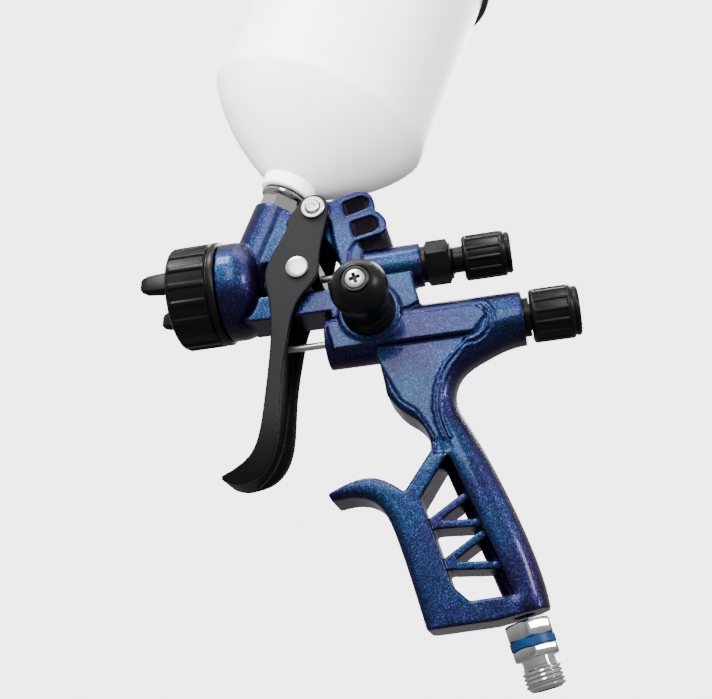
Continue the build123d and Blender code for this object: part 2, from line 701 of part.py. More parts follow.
# ---- air valve line ------------------------------------------------------------------------
bush_r = 4.4
with BuildPart() as valve_bush:
    with BuildSketch(across(tube_front - 0.9, -valve_drop)):
        Circle(bush_r - slip)
        Circle(stem_r + slip, mode=Mode.SUBTRACT)
    extrude(amount=7.0)
finish(valve_bush, "valve_bush")

stem_front = -26.0
head_front_x = tube_front + 26.0
with BuildPart() as valve_stem:
    with BuildSketch(across(stem_front, -valve_drop)):
        Circle(stem_r)
    extrude(amount=head_front_x - stem_front)
    fillet(valve_stem.faces().sort_by(Axis.X)[0].edges(), radius=0.6)
finish(valve_stem, "valve_stem")

with BuildPart() as valve_head:
    with BuildSketch(across(head_front_x, -valve_drop)):
        Circle(micro_r - 2.0)
    extrude(amount=3.6)
finish(valve_head, "valve_head")

plug_front = tube_end - 17.0
with BuildPart() as valve_spring:
    with BuildSketch(across(head_front_x + 3.6, -valve_drop)):
        Circle(4.4)
        Circle(3.4, mode=Mode.SUBTRACT)
    extrude(amount=plug_front - head_front_x - 3.6)
finish(valve_spring, "valve_spring")

air_knob_front = tube_end + micro_gap
with BuildPart() as micro_sleeve:
    with BuildSketch(across(plug_front, -valve_drop)):
        Circle(micro_r - 0.6 - slip)
    extrude(amount=tube_end - plug_front)
    with BuildSketch(across(tube_end, -valve_drop)):
        Circle(micro_r)
    extrude(amount=micro_gap - gap)
    with BuildSketch(across(tube_end, -valve_drop)):
        Circle(neck_r)
    extrude(amount=micro_gap + 9.0)
finish(micro_sleeve, "micro_sleeve")

with BuildPart() as air_knob:
    with BuildSketch(across(air_knob_front, -valve_drop)):
        Circle(air_knob_r)
    extrude(amount=air_knob_len)
    chamfer(air_knob.edges().filter_by(GeomType.CIRCLE), length=0.6)
    with BuildSketch(across(air_knob_front, -valve_drop)):
        Circle(neck_r + slip)
    extrude(amount=9.0 + gap, mode=Mode.SUBTRACT)
    with BuildSketch(across(air_knob_front + 1.6, -valve_drop)):
        with PolarLocations(air_knob_r + 0.5, 22):
            Rectangle(1.6, 1.3)
    extrude(amount=air_knob_len - 3.2, mode=Mode.SUBTRACT)
finish(air_knob, "air_knob")

with BuildPart() as air_knob_cap:
    with BuildSketch(across(air_knob_front + air_knob_len, -valve_drop)):
        Circle(air_knob_r - 1.0)
    extrude(amount=air_knob_cap_len)
    chamfer(air_knob_cap.faces().sort_by(Axis.X)[-1].edges(), length=0.5)
finish(air_knob_cap, "air_knob_cap")

# ---- fan control ---------------------------------------------------------------------------
fan_bore_r = 4.2
fan_axis = Axis((head_x + fan_x, 0, head_z + fan_z), (0, -1, 0))
collar_end = fan_base_y - collar_len
fan_knob_foot = collar_end - gap


def fan_plane():
    """Half-plane through the fan control's axis: local x is the radius, local y the height outwards."""
    return Plane(origin=(head_x + fan_x, 0, head_z + fan_z), x_dir=(1, 0, 0), z_dir=(0, 0, 1))


with BuildPart() as fan_collar:
    with BuildSketch(fan_plane()):
        with BuildLine():
            Polyline((fan_bore_r, fan_base_y), (collar_r, fan_base_y), (collar_r, fan_base_y - 1.6),
                     (collar_r - 3.2, collar_end), (fan_bore_r, collar_end), close=True)
        make_face()
    revolve(axis=fan_axis)
finish(fan_collar, "fan_collar")

with BuildPart() as fan_spindle:
    with BuildSketch(side(fan_base_y + 8.4)):
        with Locations((fan_x, fan_z)):
            Circle(fan_bore_r - slip)
    extrude(amount=fan_base_y + 8.4 - fan_knob_foot + 8.0)
finish(fan_spindle, "fan_spindle")

with BuildPart() as fan_knob:
    with BuildSketch(fan_plane()):
        with BuildLine():
            Polyline((fan_bore_r - slip, fan_knob_foot - 8.0), (fan_bore_r - slip, fan_knob_foot),
                     (fan_knob_foot_r, fan_knob_foot), (fan_knob_foot_r + 0.5, fan_knob_foot - 4.0),
                     (fan_knob_r, fan_knob_foot - 8.4), (fan_knob_r, fan_knob_end + 7.0))
            ThreePointArc((fan_knob_r, fan_knob_end + 7.0), (fan_knob_r - 2.0, fan_knob_end + 2.2),
                          (fan_knob_r - 5.4, fan_knob_end))
            Polyline((fan_knob_r - 5.4, fan_knob_end), (0, fan_knob_end), (0, fan_knob_foot - 8.0),
                     (fan_bore_r - slip, fan_knob_foot - 8.0))
        make_face()
    revolve(axis=fan_axis)
finish(fan_knob, "fan_knob")

with BuildPart() as fan_screw:
    with BuildSketch(side(fan_knob_end)):
        with Locations((fan_x, fan_z)):
            Circle(screw_r)
    extrude(amount=1.2)
    with BuildSketch(side(fan_knob_end - 0.5)):
        with Locations((fan_x, fan_z)):
            Rectangle(4.0, 1.0)
            Rectangle(1.0, 4.0)
    extrude(amount=1.0, mode=Mode.SUBTRACT)
finish(fan_screw, "fan_screw")

with BuildPart() as fan_knob_plate:
    with BuildSketch(side(fan_knob_end)):
        with Locations((fan_x, fan_z)):
            Circle(fan_knob_r - 5.6)
            Circle(screw_r + slip, mode=Mode.SUBTRACT)
    extrude(amount=0.6)
finish(fan_knob_plate, "fan_knob_plate")

# ---- air inlet -----------------------------------------------------------------------------
thread_top = inlet_len / 2
hex_low = thread_top + inlet_neck_len
band_low = hex_low + lower_hex_len
nut_low = band_low + band_len
tail_r = 5.2
with BuildPart() as inlet_connector:
    with BuildSketch(up_inlet(-inlet_len / 2)):
        Circle(inlet_r)
    extrude(amount=inlet_len)
    with BuildSketch(up_inlet(thread_top)):
        Circle(inlet_neck_r)
    extrude(amount=inlet_neck_len)
    with BuildSketch(up_inlet(hex_low)):
        RegularPolygon(inlet_hex_af / 2, 6, major_radius=False)
    extrude(amount=lower_hex_len)
    with BuildSketch(up_inlet(band_low)):
        Circle(tail_r)
    extrude(amount=band_len + upper_hex_len)
    with BuildSketch(up_inlet(-inlet_len / 2)):
        Circle(air_bore_r)
    extrude(amount=inlet_len + inlet_stack, mode=Mode.SUBTRACT)
finish(inlet_connector, "inlet_connector")

with BuildPart() as size_band:
    with BuildSketch(up_inlet(band_low)):
        Circle(band_r)
        Circle(tail_r + slip, mode=Mode.SUBTRACT)
    extrude(amount=band_len)
finish(size_band, "size_band")

with BuildPart() as inlet_nut:
    with BuildSketch(up_inlet(nut_low)):
        RegularPolygon(inlet_hex_af / 2, 6, major_radius=False)
        Circle(tail_r + slip, mode=Mode.SUBTRACT)
    extrude(amount=upper_hex_len)
finish(inlet_nut, "inlet_nut")
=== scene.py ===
"""Looks of the HVLP spray gun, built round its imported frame."""
import json
import logging
import math
from collections.abc import Callable
from dataclasses import dataclass, replace

import bpy
from mathutils import Matrix, Vector

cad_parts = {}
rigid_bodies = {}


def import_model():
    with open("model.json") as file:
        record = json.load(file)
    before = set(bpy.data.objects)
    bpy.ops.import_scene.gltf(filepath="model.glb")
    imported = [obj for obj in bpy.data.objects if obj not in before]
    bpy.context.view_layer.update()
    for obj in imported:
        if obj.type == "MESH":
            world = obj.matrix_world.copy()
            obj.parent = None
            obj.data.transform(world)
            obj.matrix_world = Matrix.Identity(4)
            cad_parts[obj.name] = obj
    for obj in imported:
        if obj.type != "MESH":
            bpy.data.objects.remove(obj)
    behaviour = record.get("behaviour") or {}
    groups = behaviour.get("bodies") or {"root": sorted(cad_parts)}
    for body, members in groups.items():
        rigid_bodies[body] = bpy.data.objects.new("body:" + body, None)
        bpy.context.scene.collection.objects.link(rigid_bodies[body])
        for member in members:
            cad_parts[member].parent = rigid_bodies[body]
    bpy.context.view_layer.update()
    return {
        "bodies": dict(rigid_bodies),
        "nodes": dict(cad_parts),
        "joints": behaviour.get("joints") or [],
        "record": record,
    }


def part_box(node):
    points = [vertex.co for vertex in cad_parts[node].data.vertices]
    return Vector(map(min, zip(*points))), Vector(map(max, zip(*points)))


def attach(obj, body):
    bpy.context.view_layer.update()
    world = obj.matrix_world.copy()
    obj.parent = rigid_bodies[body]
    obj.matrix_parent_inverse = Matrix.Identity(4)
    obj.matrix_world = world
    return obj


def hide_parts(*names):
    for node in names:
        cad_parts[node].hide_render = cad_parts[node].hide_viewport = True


LOG = logging.getLogger("spray_gun")
Colour = tuple[float, float, float]
Point = tuple[float, float, float]
MM = 0.001


# ---- finishes ------------------------------------------------------------------------------
class Recipe:
    """A material being mixed: a thin hand on its node tree."""

    def __init__(self, name: str) -> None:
        """Start an empty principled material.

        Args:
            name: the material's name.
        """
        self.material = bpy.data.materials.new(name)
        self.material.use_nodes = True
        self.tree = self.material.node_tree
        self.shader = self.tree.nodes["Principled BSDF"]
        self.where = self.add("ShaderNodeTexCoord")

    def add(self, kind: str, **settings: object) -> bpy.types.Node:
        """Add a node and set its own properties.

        Args:
            kind: the node's type.
            **settings: properties of the node.

        Returns:
            The new node.
        """
        node = self.tree.nodes.new(kind)
        for key, value in settings.items():
            setattr(node, key, value)
        return node

    def join(self, source: bpy.types.NodeSocket, target: bpy.types.NodeSocket) -> None:
        """Link one socket to another."""
        self.tree.links.new(source, target)

    def set(self, **values: object) -> None:
        """Set plain values on the shader's own sockets, named with underscores for spaces."""
        for key, value in values.items():
            self.shader.inputs[key.replace("_", " ")].default_value = value

    def noise(self, scale: float, detail: float = 2.0) -> bpy.types.NodeSocket:
        """Noise on object coordinates.

        Args:
            scale: cells per metre.
            detail: octaves.

        Returns:
            The noise's value socket.
        """
        node = self.add("ShaderNodeTexNoise")
        node.inputs["Scale"].default_value = scale
        node.inputs["Detail"].default_value = detail
        self.join(self.where.outputs["Object"], node.inputs["Vector"])
        return node.outputs["Fac"]

    def ramp(self, source: bpy.types.NodeSocket, stops: list[tuple[float, Colour]]) -> bpy.types.NodeSocket:
        """Colour ramp.

        Args:
            source: the value that drives it.
            stops: positions and colours.

        Returns:
            The ramp's colour socket.
        """
        node = self.add("ShaderNodeValToRGB")
        while len(node.color_ramp.elements) < len(stops):
            node.color_ramp.elements.new(0.5)
        for element, (place, colour) in zip(node.color_ramp.elements, stops):
            element.position = place
            element.color = (*colour, 1.0)
        self.join(source, node.inputs["Fac"])
        return node.outputs["Color"]

    def spread(self, source: bpy.types.NodeSocket, low: float, high: float) -> bpy.types.NodeSocket:
        """Map a 0..1 value onto low..high and return the socket."""
        node = self.add("ShaderNodeMapRange")
        node.inputs["To Min"].default_value = low
        node.inputs["To Max"].default_value = high
        self.join(source, node.inputs["Value"])
        return node.outputs["Result"]

    def bump(self, height: bpy.types.NodeSocket, depth: float, strength: float = 1.0) -> None:
        """Bump the surface by a height.

        Args:
            height: the height socket, 0..1.
            depth: metres from 0 to 1.
            strength: share of the effect.
        """
        node = self.add("ShaderNodeBump")
        node.inputs["Distance"].default_value = depth
        node.inputs["Strength"].default_value = strength
        self.join(height, node.inputs["Height"])
        self.join(node.outputs["Normal"], self.shader.inputs["Normal"])


def shade(colour: Colour, share: float) -> Colour:
    """The colour, darkened or brightened by a share."""
    return (colour[0] * share, colour[1] * share, colour[2] * share)


@dataclass(frozen=True)
class FlakeLacquer:
    """Blue to violet metal flake under a clear coat, with painted sheen and shade by facing: brighter
    blue-teal on the ±Y flanks, near-black purple on faces turned away from them.
    """

    name: str = "flake_lacquer"
    flake: float = 0.00017
    spark: float = 0.00026
    tilt: float = 0.36

    def _cells(self, r: Recipe, size: float) -> bpy.types.NodeSocket:
        """Random colour cells of this size in metres."""
        cells = r.add("ShaderNodeTexVoronoi")
        cells.inputs["Scale"].default_value = 1.0 / size
        r.join(r.where.outputs["Object"], cells.inputs["Vector"])
        return cells.outputs["Color"]

    def mix(self) -> bpy.types.Material:
        """Mix the lacquer and return its material."""
        r = Recipe(self.name)
        fine, coarse = (self._cells(r, size) for size in (self.flake, self.spark))
        split = r.add("ShaderNodeSeparateColor")
        r.join(coarse, split.inputs["Color"])
        # Ground colour painted by facing: faces turned to ±Y get a brighter blue-teal and faces turned up,
        # down, fore or aft a near-black purple. This is painted sheen and shade; the noise adds random tone.
        facing = r.add("ShaderNodeSeparateXYZ")
        r.join(r.where.outputs["Normal"], facing.inputs["Vector"])
        flank = r.add("ShaderNodeMath", operation="ABSOLUTE")
        r.join(facing.outputs["Y"], flank.inputs[0])
        shift = r.add("ShaderNodeMath", operation="MULTIPLY_ADD")
        shift.inputs[1].default_value = 0.52
        r.join(flank.outputs[0], shift.inputs[0])
        r.join(r.spread(r.noise(42.0, 2.0), -0.12, 0.60), shift.inputs[2])
        facing_sheen_shade = r.ramp(shift.outputs[0], [(0.10, (0.030, 0.006, 0.040)), (0.45, (0.034, 0.014, 0.085)),
                                           (0.72, (0.026, 0.036, 0.135)), (0.92, (0.016, 0.080, 0.175))])
        hue = r.ramp(split.outputs["Green"], [(0.0, (0.95, 0.55, 1.0)), (0.35, (1.0, 0.75, 1.0)),
                                              (0.70, (0.75, 0.95, 1.0)), (1.0, (0.50, 1.0, 0.85))])
        power = r.add("ShaderNodeMath", operation="POWER")
        power.inputs[1].default_value = 6.0
        r.join(split.outputs["Red"], power.inputs[0])
        tinted = r.add("ShaderNodeVectorMath", operation="MULTIPLY")
        r.join(facing_sheen_shade, tinted.inputs[0])
        r.join(hue, tinted.inputs[1])
        lit = r.add("ShaderNodeVectorMath", operation="SCALE")
        r.join(tinted.outputs[0], lit.inputs[0])
        r.join(r.spread(power.outputs[0], 0.55, 3.2), lit.inputs["Scale"])
        r.join(lit.outputs[0], r.shader.inputs["Base Color"])
        level = r.add("ShaderNodeVectorMath", operation="SUBTRACT")
        level.inputs[1].default_value = (0.5, 0.5, 0.5)
        r.join(fine, level.inputs[0])
        tilt = r.add("ShaderNodeVectorMath", operation="MULTIPLY_ADD")
        tilt.inputs[1].default_value = (self.tilt, self.tilt, self.tilt)
        r.join(level.outputs[0], tilt.inputs[0])
        r.join(r.add("ShaderNodeNewGeometry").outputs["Normal"], tilt.inputs[2])
        even = r.add("ShaderNodeVectorMath", operation="NORMALIZE")
        r.join(tilt.outputs[0], even.inputs[0])
        r.join(even.outputs[0], r.shader.inputs["Normal"])
        r.set(Metallic=0.92, Roughness=0.33, Coat_Weight=0.45, Coat_Roughness=0.09, Coat_IOR=1.4)
        return r.material


@dataclass(frozen=True)
class SatinBlack:
    """Black coating with a fine tooth and a dusting of paler wear."""

    name: str = "satin_black"
    tone: float = 0.0045
    gloss: float = 0.36
    tooth: float = 0.000012
    metallic: float = 0.0

    def mix(self) -> bpy.types.Material:
        """Mix the coating and return its material."""
        r = Recipe(self.name)
        broad = r.noise(90.0, 4.0)
        fine = r.noise(5200.0, 2.0)
        tone = self.tone
        r.join(r.ramp(broad, [(0.3, (tone * 0.8, tone * 0.82, tone * 0.88)),
            (0.7, (tone * 1.3, tone * 1.3, tone * 1.36))]), r.shader.inputs["Base Color"])
        r.join(r.spread(broad, self.gloss - 0.05, self.gloss + 0.06), r.shader.inputs["Roughness"])
        r.bump(fine, self.tooth)
        r.set(Metallic=self.metallic, Specular_IOR_Level=0.26)
        return r.material


@dataclass(frozen=True)
class BrightMetal:
    """Plated or turned metal with a fine, even bump grain."""

    name: str
    colour: Colour
    roughness: float
    lines: float = 0.0

    def mix(self) -> bpy.types.Material:
        """Mix the metal and return its material."""
        r = Recipe(self.name)
        smear = r.noise(160.0, 3.0)
        c = self.colour
        r.join(r.ramp(smear, [(0.3, shade(c, 0.88)), (0.7, c)]), r.shader.inputs["Base Color"])
        r.join(r.spread(smear, self.roughness * 0.7, self.roughness * 1.5), r.shader.inputs["Roughness"])
        r.bump(r.noise(3000.0, 2.0), 0.000006 + self.lines)
        r.set(Metallic=1.0)
        return r.material


@dataclass(frozen=True)
class MilkyPlastic:
    """Translucent polyethylene, faintly mottled."""

    name: str = "milky_plastic"

    def mix(self) -> bpy.types.Material:
        """Mix the plastic and return its material."""
        r = Recipe(self.name)
        cloud = r.noise(35.0, 3.0)
        r.join(r.ramp(cloud, [(0.3, (0.86, 0.87, 0.88)), (0.7, (0.93, 0.935, 0.94))]),
            r.shader.inputs["Base Color"])
        r.join(r.spread(cloud, 0.36, 0.46), r.shader.inputs["Roughness"])
        r.bump(r.noise(900.0, 2.0), 0.00001)
        r.set(Subsurface_Weight=0.6, Subsurface_Scale=0.01, IOR=1.45)
        r.shader.inputs["Subsurface Radius"].default_value = (1.0, 1.0, 1.0)
        return r.material


@dataclass(frozen=True)
class PlainPlastic:
    """Moulded plastic or rubber of one colour with moulding texture."""

    name: str
    colour: Colour
    roughness: float = 0.35
    grain: float = 0.00001

    def mix(self) -> bpy.types.Material:
        """Mix the plastic and return its material."""
        r = Recipe(self.name)
        cloud = r.noise(120.0, 3.0)
        c = self.colour
        r.join(r.ramp(cloud, [(0.3, shade(c, 0.85)), (0.7, shade(c, 1.1))]),
               r.shader.inputs["Base Color"])
        r.join(r.spread(cloud, self.roughness - 0.04, self.roughness + 0.06), r.shader.inputs["Roughness"])
        r.bump(r.noise(2600.0, 2.0), self.grain)
        return r.material


@dataclass
class Palette:
    """Every finish on the gun, by the record's slot."""

    def __post_init__(self) -> None:
        """Mix the finishes."""
        self.by_slot = {
            "paint": FlakeLacquer().mix(),
            "trigger_black": SatinBlack("trigger_black", tone=0.010, gloss=0.46).mix(),
            "black_anodised": SatinBlack("black_anodised", tone=0.007, gloss=0.32).mix(),
            "grey_metal": SatinBlack("grey_metal", tone=0.035, gloss=0.35, metallic=0.6).mix(),
            "chrome_plate": BrightMetal("chrome_plate", (0.92, 0.91, 0.90), 0.06).mix(),
            "steel": BrightMetal("steel", (0.90, 0.90, 0.89), 0.30).mix(),
            "brass_part": BrightMetal("brass_part", (0.80, 0.60, 0.28), 0.24).mix(),
            "blue_band": PlainPlastic("blue_band", (0.0, 0.075, 0.26), 0.42).mix(),
            "seal": PlainPlastic("seal", (0.02, 0.02, 0.02), 0.6).mix(),
            "cup_plastic": MilkyPlastic().mix(),
            "lid_plastic": PlainPlastic("lid_plastic", (0.012, 0.012, 0.013), 0.38).mix(),
        }


# ---- the studio ----------------------------------------------------------------------------
@dataclass
class Studio:
    """Camera, light and a pale sweep of floor."""

    azimuth: float = 9.1
    elevation: float = -22.0
    roll: float = 4.4
    distance: float = 0.389
    lens: float = 53.09
    aim: Point = (-0.05263, 0.0, 0.12119)
    room: float = 0.25
    backdrop: float = 4.6

    def camera(self) -> None:
        """Make the camera."""
        a, e, roll = (math.radians(x) for x in (self.azimuth, self.elevation, self.roll))
        back = Vector((math.sin(a) * math.cos(e), -math.cos(a) * math.cos(e), math.sin(e)))
        right = Vector((math.cos(a), math.sin(a), 0.0))
        up = back.cross(right)
        turned_right = right * math.cos(roll) - up * math.sin(roll)
        turned_up = right * math.sin(roll) + up * math.cos(roll)
        data = bpy.data.cameras.new("camera")
        data.lens = self.lens
        data.clip_start = 0.01
        camera = bpy.data.objects.new("camera", data)
        bpy.context.scene.collection.objects.link(camera)
        axes = Matrix((turned_right, turned_up, back)).transposed()
        camera.matrix_world = Matrix.Translation(Vector(self.aim) + back * self.distance) @ axes.to_4x4()
        bpy.context.scene.camera = camera

    def light(self, name: str, place: Point, aim: Point, size: float, watts: float) -> None:
        """Hang one soft box.

        Args:
            name: the light's name.
            place: where it hangs.
            aim: what it points at.
            size: its side in metres.
            watts: its power.
        """
        data = bpy.data.lights.new(name, "AREA")
        data.size = size
        data.energy = watts
        lamp = bpy.data.objects.new(name, data)
        bpy.context.scene.collection.objects.link(lamp)
        way = Vector(aim) - Vector(place)
        lamp.matrix_world = Matrix.Translation(place) @ way.to_track_quat("-Z", "Y").to_matrix().to_4x4()

    def glow(self, *pieces: bpy.types.Object) -> None:
        """Light these pale pieces alone, as a bright room shines through them.

        Args:
            *pieces: what the lamps reach.
        """
        lit = bpy.data.collections.new("pale_pieces")
        for piece in pieces:
            lit.objects.link(piece)
        for name, spot, watts in (("glow_front", (-0.5, -0.9, 0.5), 60.0), ("glow_low", (0.2, -0.8, -0.2),
            45.0), ("glow_back", (0.3, 0.6, 0.9), 40.0)):
            self.light(name, spot, (0.0, 0.0, 0.25), 0.9, watts)
            bpy.data.objects[name].light_linking.receiver_collection = lit

    def set_up(self) -> None:
        """Put up camera, lights, sky and floor."""
        self.camera()
        world = bpy.data.worlds.new("sky")
        world.use_nodes = True
        sky = world.node_tree.nodes["Background"]
        sky.inputs["Color"].default_value = (0.955, 0.945, 1.0, 1.0)
        shown = world.node_tree.nodes.new("ShaderNodeLightPath")
        strength = world.node_tree.nodes.new("ShaderNodeMapRange")
        strength.inputs["To Max"].default_value = self.backdrop
        height = world.node_tree.nodes.new("ShaderNodeSeparateXYZ")
        way = world.node_tree.nodes.new("ShaderNodeTexCoord")
        world.node_tree.links.new(way.outputs["Generated"], height.inputs[0])
        sweep = world.node_tree.nodes.new("ShaderNodeMapRange")
        sweep.inputs["From Min"].default_value = -0.3
        sweep.inputs["To Min"].default_value = self.room * 0.8
        sweep.inputs["To Max"].default_value = self.room * 3.2
        world.node_tree.links.new(height.outputs["Z"], sweep.inputs["Value"])
        world.node_tree.links.new(sweep.outputs["Result"], strength.inputs["To Min"])
        world.node_tree.links.new(shown.outputs["Is Camera Ray"], strength.inputs["Value"])
        world.node_tree.links.new(strength.outputs["Result"], sky.inputs["Strength"])
        bpy.context.scene.world = world
        self.light("key", (-0.30, -0.55, 1.05), self.aim, 0.34, 9.0)
        self.light("haze", (-0.07, -0.42, 0.29), (-0.03, 0.0, 0.12), 0.2, 0.85)
        self.light("side", (0.80, -0.45, 0.35), self.aim, 0.22, 4.0)
        self.light("rim", (0.2, 0.9, 0.9), self.aim, 0.6, 12.0)
        bpy.ops.object.select_all(action="DESELECT")
        bpy.ops.mesh.primitive_plane_add(size=6.0, location=(0.0, 0.0, -0.35))
        floor = bpy.context.object
        floor.name = "floor"
        r = Recipe("pale_floor")
        r.join(r.ramp(r.noise(3.0, 2.0), [(0.3, (0.80, 0.80, 0.82)), (0.7, (0.86, 0.86, 0.88))]),
            r.shader.inputs["Base Color"])
        r.set(Roughness=0.6, Emission_Strength=2.2)
        r.shader.inputs["Emission Color"].default_value = (0.95, 0.945, 1.0, 1.0)
        floor.data.materials.append(r.material)
        floor.visible_diffuse = False
        floor.visible_glossy = False


# ---- the bench: ways of shaping --------------------------------------------------------------
def pick(piece: bpy.types.Object) -> None:
    """Leave only this piece selected and active.

    Args:
        piece: the object to select.
    """
    bpy.ops.object.select_all(action="DESELECT")
    piece.select_set(True)
    bpy.context.view_layer.objects.active = piece


def edit(piece: bpy.types.Object, wanted: Callable[[Vector], bool], kind: str = "VERT") -> None:
    """Open the piece in edit mode with the wanted places selected.

    Args:
        piece: the object.
        wanted: whether a vertex, edge or face middle at this place is selected.
        kind: VERT, EDGE or FACE.
    """
    pick(piece)
    bpy.ops.object.mode_set(mode="EDIT")
    bpy.ops.mesh.select_mode(type=kind)
    bpy.ops.mesh.select_all(action="DESELECT")
    bpy.ops.object.mode_set(mode="OBJECT")
    mesh = piece.data
    if kind == "VERT":
        for vertex in mesh.vertices:
            vertex.select = wanted(vertex.co)
    elif kind == "FACE":
        for face in mesh.polygons:
            face.select = wanted(face.center)
    else:
        for line in mesh.edges:
            first, second = (mesh.vertices[n].co for n in line.vertices)
            line.select = wanted((first + second) / 2)
    bpy.ops.object.mode_set(mode="EDIT")


def close(piece: bpy.types.Object) -> None:
    """Merge doubles, turn every face outwards and leave edit mode.

    Args:
        piece: the object in edit mode.
    """
    bpy.ops.mesh.select_all(action="SELECT")
    bpy.ops.mesh.remove_doubles(threshold=0.002 * MM)
    bpy.ops.mesh.normals_make_consistent(inside=False)
    bpy.ops.object.mode_set(mode="OBJECT")


def apply_modifier(piece: bpy.types.Object, kind: str, **settings: object) -> None:
    """Add a modifier and apply it at once.

    Args:
        piece: the object.
        kind: the modifier's type.
        **settings: its properties.
    """
    pick(piece)
    modifier = piece.modifiers.new(kind.lower(), kind)
    for key, value in settings.items():
        setattr(modifier, key, value)
    bpy.ops.object.modifier_apply(modifier=modifier.name)


def soften(piece: bpy.types.Object, width: float, segments: int = 2, angle: float = 32.0) -> None:
    """Bevel the sharp edges.

    Args:
        piece: the object.
        width: millimetres.
        segments: steps across the bevel.
        angle: degrees from which an edge counts as sharp.
    """
    apply_modifier(piece, "BEVEL", width=width * MM, segments=segments, limit_method="ANGLE",
                   angle_limit=math.radians(angle), miter_outer="MITER_ARC")


def settle(piece: bpy.types.Object, frame_matrix: Matrix) -> None:
    """Move a piece from the bench to its place, into its mesh.

    Args:
        piece: the object, made round the world's Z axis.
        frame_matrix: where its own frame stands.
    """
    pick(piece)
    piece.matrix_world = frame_matrix
    bpy.ops.object.transform_apply(location=True, rotation=True, scale=True)


def turn(name: str, profile: list[tuple[float, float]], steps: int = 96, closed: bool = False,
         angle: float = 360.0) -> bpy.types.Object:
    """Turn a profile round Z, as on a lathe.

    Args:
        name: the piece's name.
        profile: radius and height in millimetres, from the bottom up.
        steps: sides of the turned piece.
        closed: whether the profile runs back to its start, as a ring's does.
        angle: degrees turned.

    Returns:
        The turned piece.
    """
    bpy.ops.object.select_all(action="DESELECT")
    radius, height = profile[0]
    bpy.ops.mesh.primitive_plane_add(size=MM, location=(0.0, 0.0, 0.0))
    piece = bpy.context.object
    piece.name = name
    bpy.ops.object.mode_set(mode="EDIT")
    bpy.ops.mesh.select_mode(type="VERT")
    bpy.ops.mesh.select_all(action="SELECT")
    bpy.ops.mesh.merge(type="CENTER")
    bpy.ops.transform.translate(value=(radius * MM, 0.0, height * MM))
    for following in profile[1:] + ([profile[0]] if closed else []):
        way = ((following[0] - radius) * MM, 0.0, (following[1] - height) * MM)
        bpy.ops.mesh.extrude_region_move(TRANSFORM_OT_translate={"value": way})
        radius, height = following
    bpy.ops.mesh.select_all(action="SELECT")
    bpy.ops.mesh.spin(steps=steps, angle=math.radians(angle), center=(0.0, 0.0, 0.0), axis=(0.0, 0.0, 1.0))
    close(piece)
    return piece


def prism(name: str, sides: int, across_flats: float, low: float, high: float,
    crown: float = 0.0) -> bpy.types.Object:
    """A nut's prism along Z, its ends crowned where asked.

    Args:
        name: the piece's name.
        sides: number of flats.
        across_flats: millimetres.
        low: bottom height in millimetres.
        high: top height in millimetres.
        crown: how far the corners are turned down, in millimetres.

    Returns:
        The prism.
    """
    bpy.ops.object.select_all(action="DESELECT")
    corner = across_flats / 2 / math.cos(math.pi / sides)
    bpy.ops.mesh.primitive_cylinder_add(vertices=sides, radius=corner * MM, depth=(high - low) * MM,
                                        location=(0.0, 0.0, (high + low) / 2 * MM))
    piece = bpy.context.object
    piece.name = name
    bpy.ops.object.transform_apply(location=True, rotation=True, scale=True)
    if crown:
        flat = across_flats / 2
        reach = corner + 0.4
        cutter = turn(name + "_crown", [(0.0, low - 1.0), (flat - 0.2, low - 1.0), (flat - 0.2, low),
            (reach, low + crown + 0.35), (reach, high - crown - 0.35), (flat - 0.2, high),
            (flat - 0.2, high + 1.0), (0.0, high + 1.0)], 72)
        combine(piece, cutter, "INTERSECT")
    return piece


def combine(piece: bpy.types.Object, other: bpy.types.Object, how: str) -> None:
    """Boolean the other piece into this one and drop it.

    Args:
        piece: the piece that stays.
        other: the tool.
        how: UNION, DIFFERENCE or INTERSECT.
    """
    apply_modifier(piece, "BOOLEAN", operation=how, object=other, solver="EXACT")
    bpy.data.objects.remove(other, do_unlink=True)


def bore(piece: bpy.types.Object, radius: float, low: float, high: float) -> None:
    """Bore a piece through along Z.

    Args:
        piece: the piece.
        radius: of the bore in millimetres.
        low: the piece's bottom in millimetres.
        high: the piece's top in millimetres.
    """
    low, high = low - 1.0, high + 1.0
    drill = turn("drill", [(0.0, low), (radius, low), (radius, high), (0.0, high)], 64)
    combine(piece, drill, "DIFFERENCE")


def join(piece: bpy.types.Object, *others: bpy.types.Object) -> None:
    """Make several shells one piece.

    Args:
        piece: the piece that stays.
        *others: the shells that join it.
    """
    pick(piece)
    for other in others:
        other.select_set(True)
    bpy.ops.object.join()


def flute(piece: bpy.types.Object, count: int, low: float, high: float, share: float, depth: float,
          radius: float) -> None:
    """Sink flutes into a turned piece's side.

    Args:
        piece: the piece round Z.
        count: number of flutes.
        low: bottom of the flutes in millimetres.
        high: top of the flutes in millimetres.
        share: part of the pitch that is sunk.
        depth: millimetres.
        radius: the side's radius in millimetres.
    """
    def sunk(place: Vector) -> bool:
        """Whether this vertex belongs to a flute."""
        turn_share = (math.atan2(place.y, place.x) / math.tau * count) % 1.0
        inside = abs(turn_share - 0.5) < share / 2
        outside = math.hypot(place.x, place.y) > (radius - 0.7) * MM
        return inside and outside and low * MM < place.z < high * MM

    edit(piece, sunk)
    shrink = 1.0 - depth / radius
    bpy.ops.transform.resize(value=(shrink, shrink, 1.0), center_override=(0.0, 0.0, 0.0))
    bpy.ops.object.mode_set(mode="OBJECT")


def cad_copy(node: bpy.types.Object, name: str) -> bpy.types.Object:
    """A merged copy of a CAD node's mesh, as a piece of its own.

    Args:
        node: the CAD node.
        name: the copy's name.

    Returns:
        The copy.
    """
    piece = bpy.data.objects.new(name, node.data.copy())
    bpy.context.scene.collection.objects.link(piece)
    piece.data.materials.clear()
    pick(piece)
    if piece.data.has_custom_normals:
        bpy.ops.mesh.customdata_custom_splitnormals_clear()
    bpy.ops.object.mode_set(mode="EDIT")
    bpy.ops.mesh.select_all(action="SELECT")
    bpy.ops.mesh.remove_doubles(threshold=0.002 * MM)
    bpy.ops.object.mode_set(mode="OBJECT")
    return piece


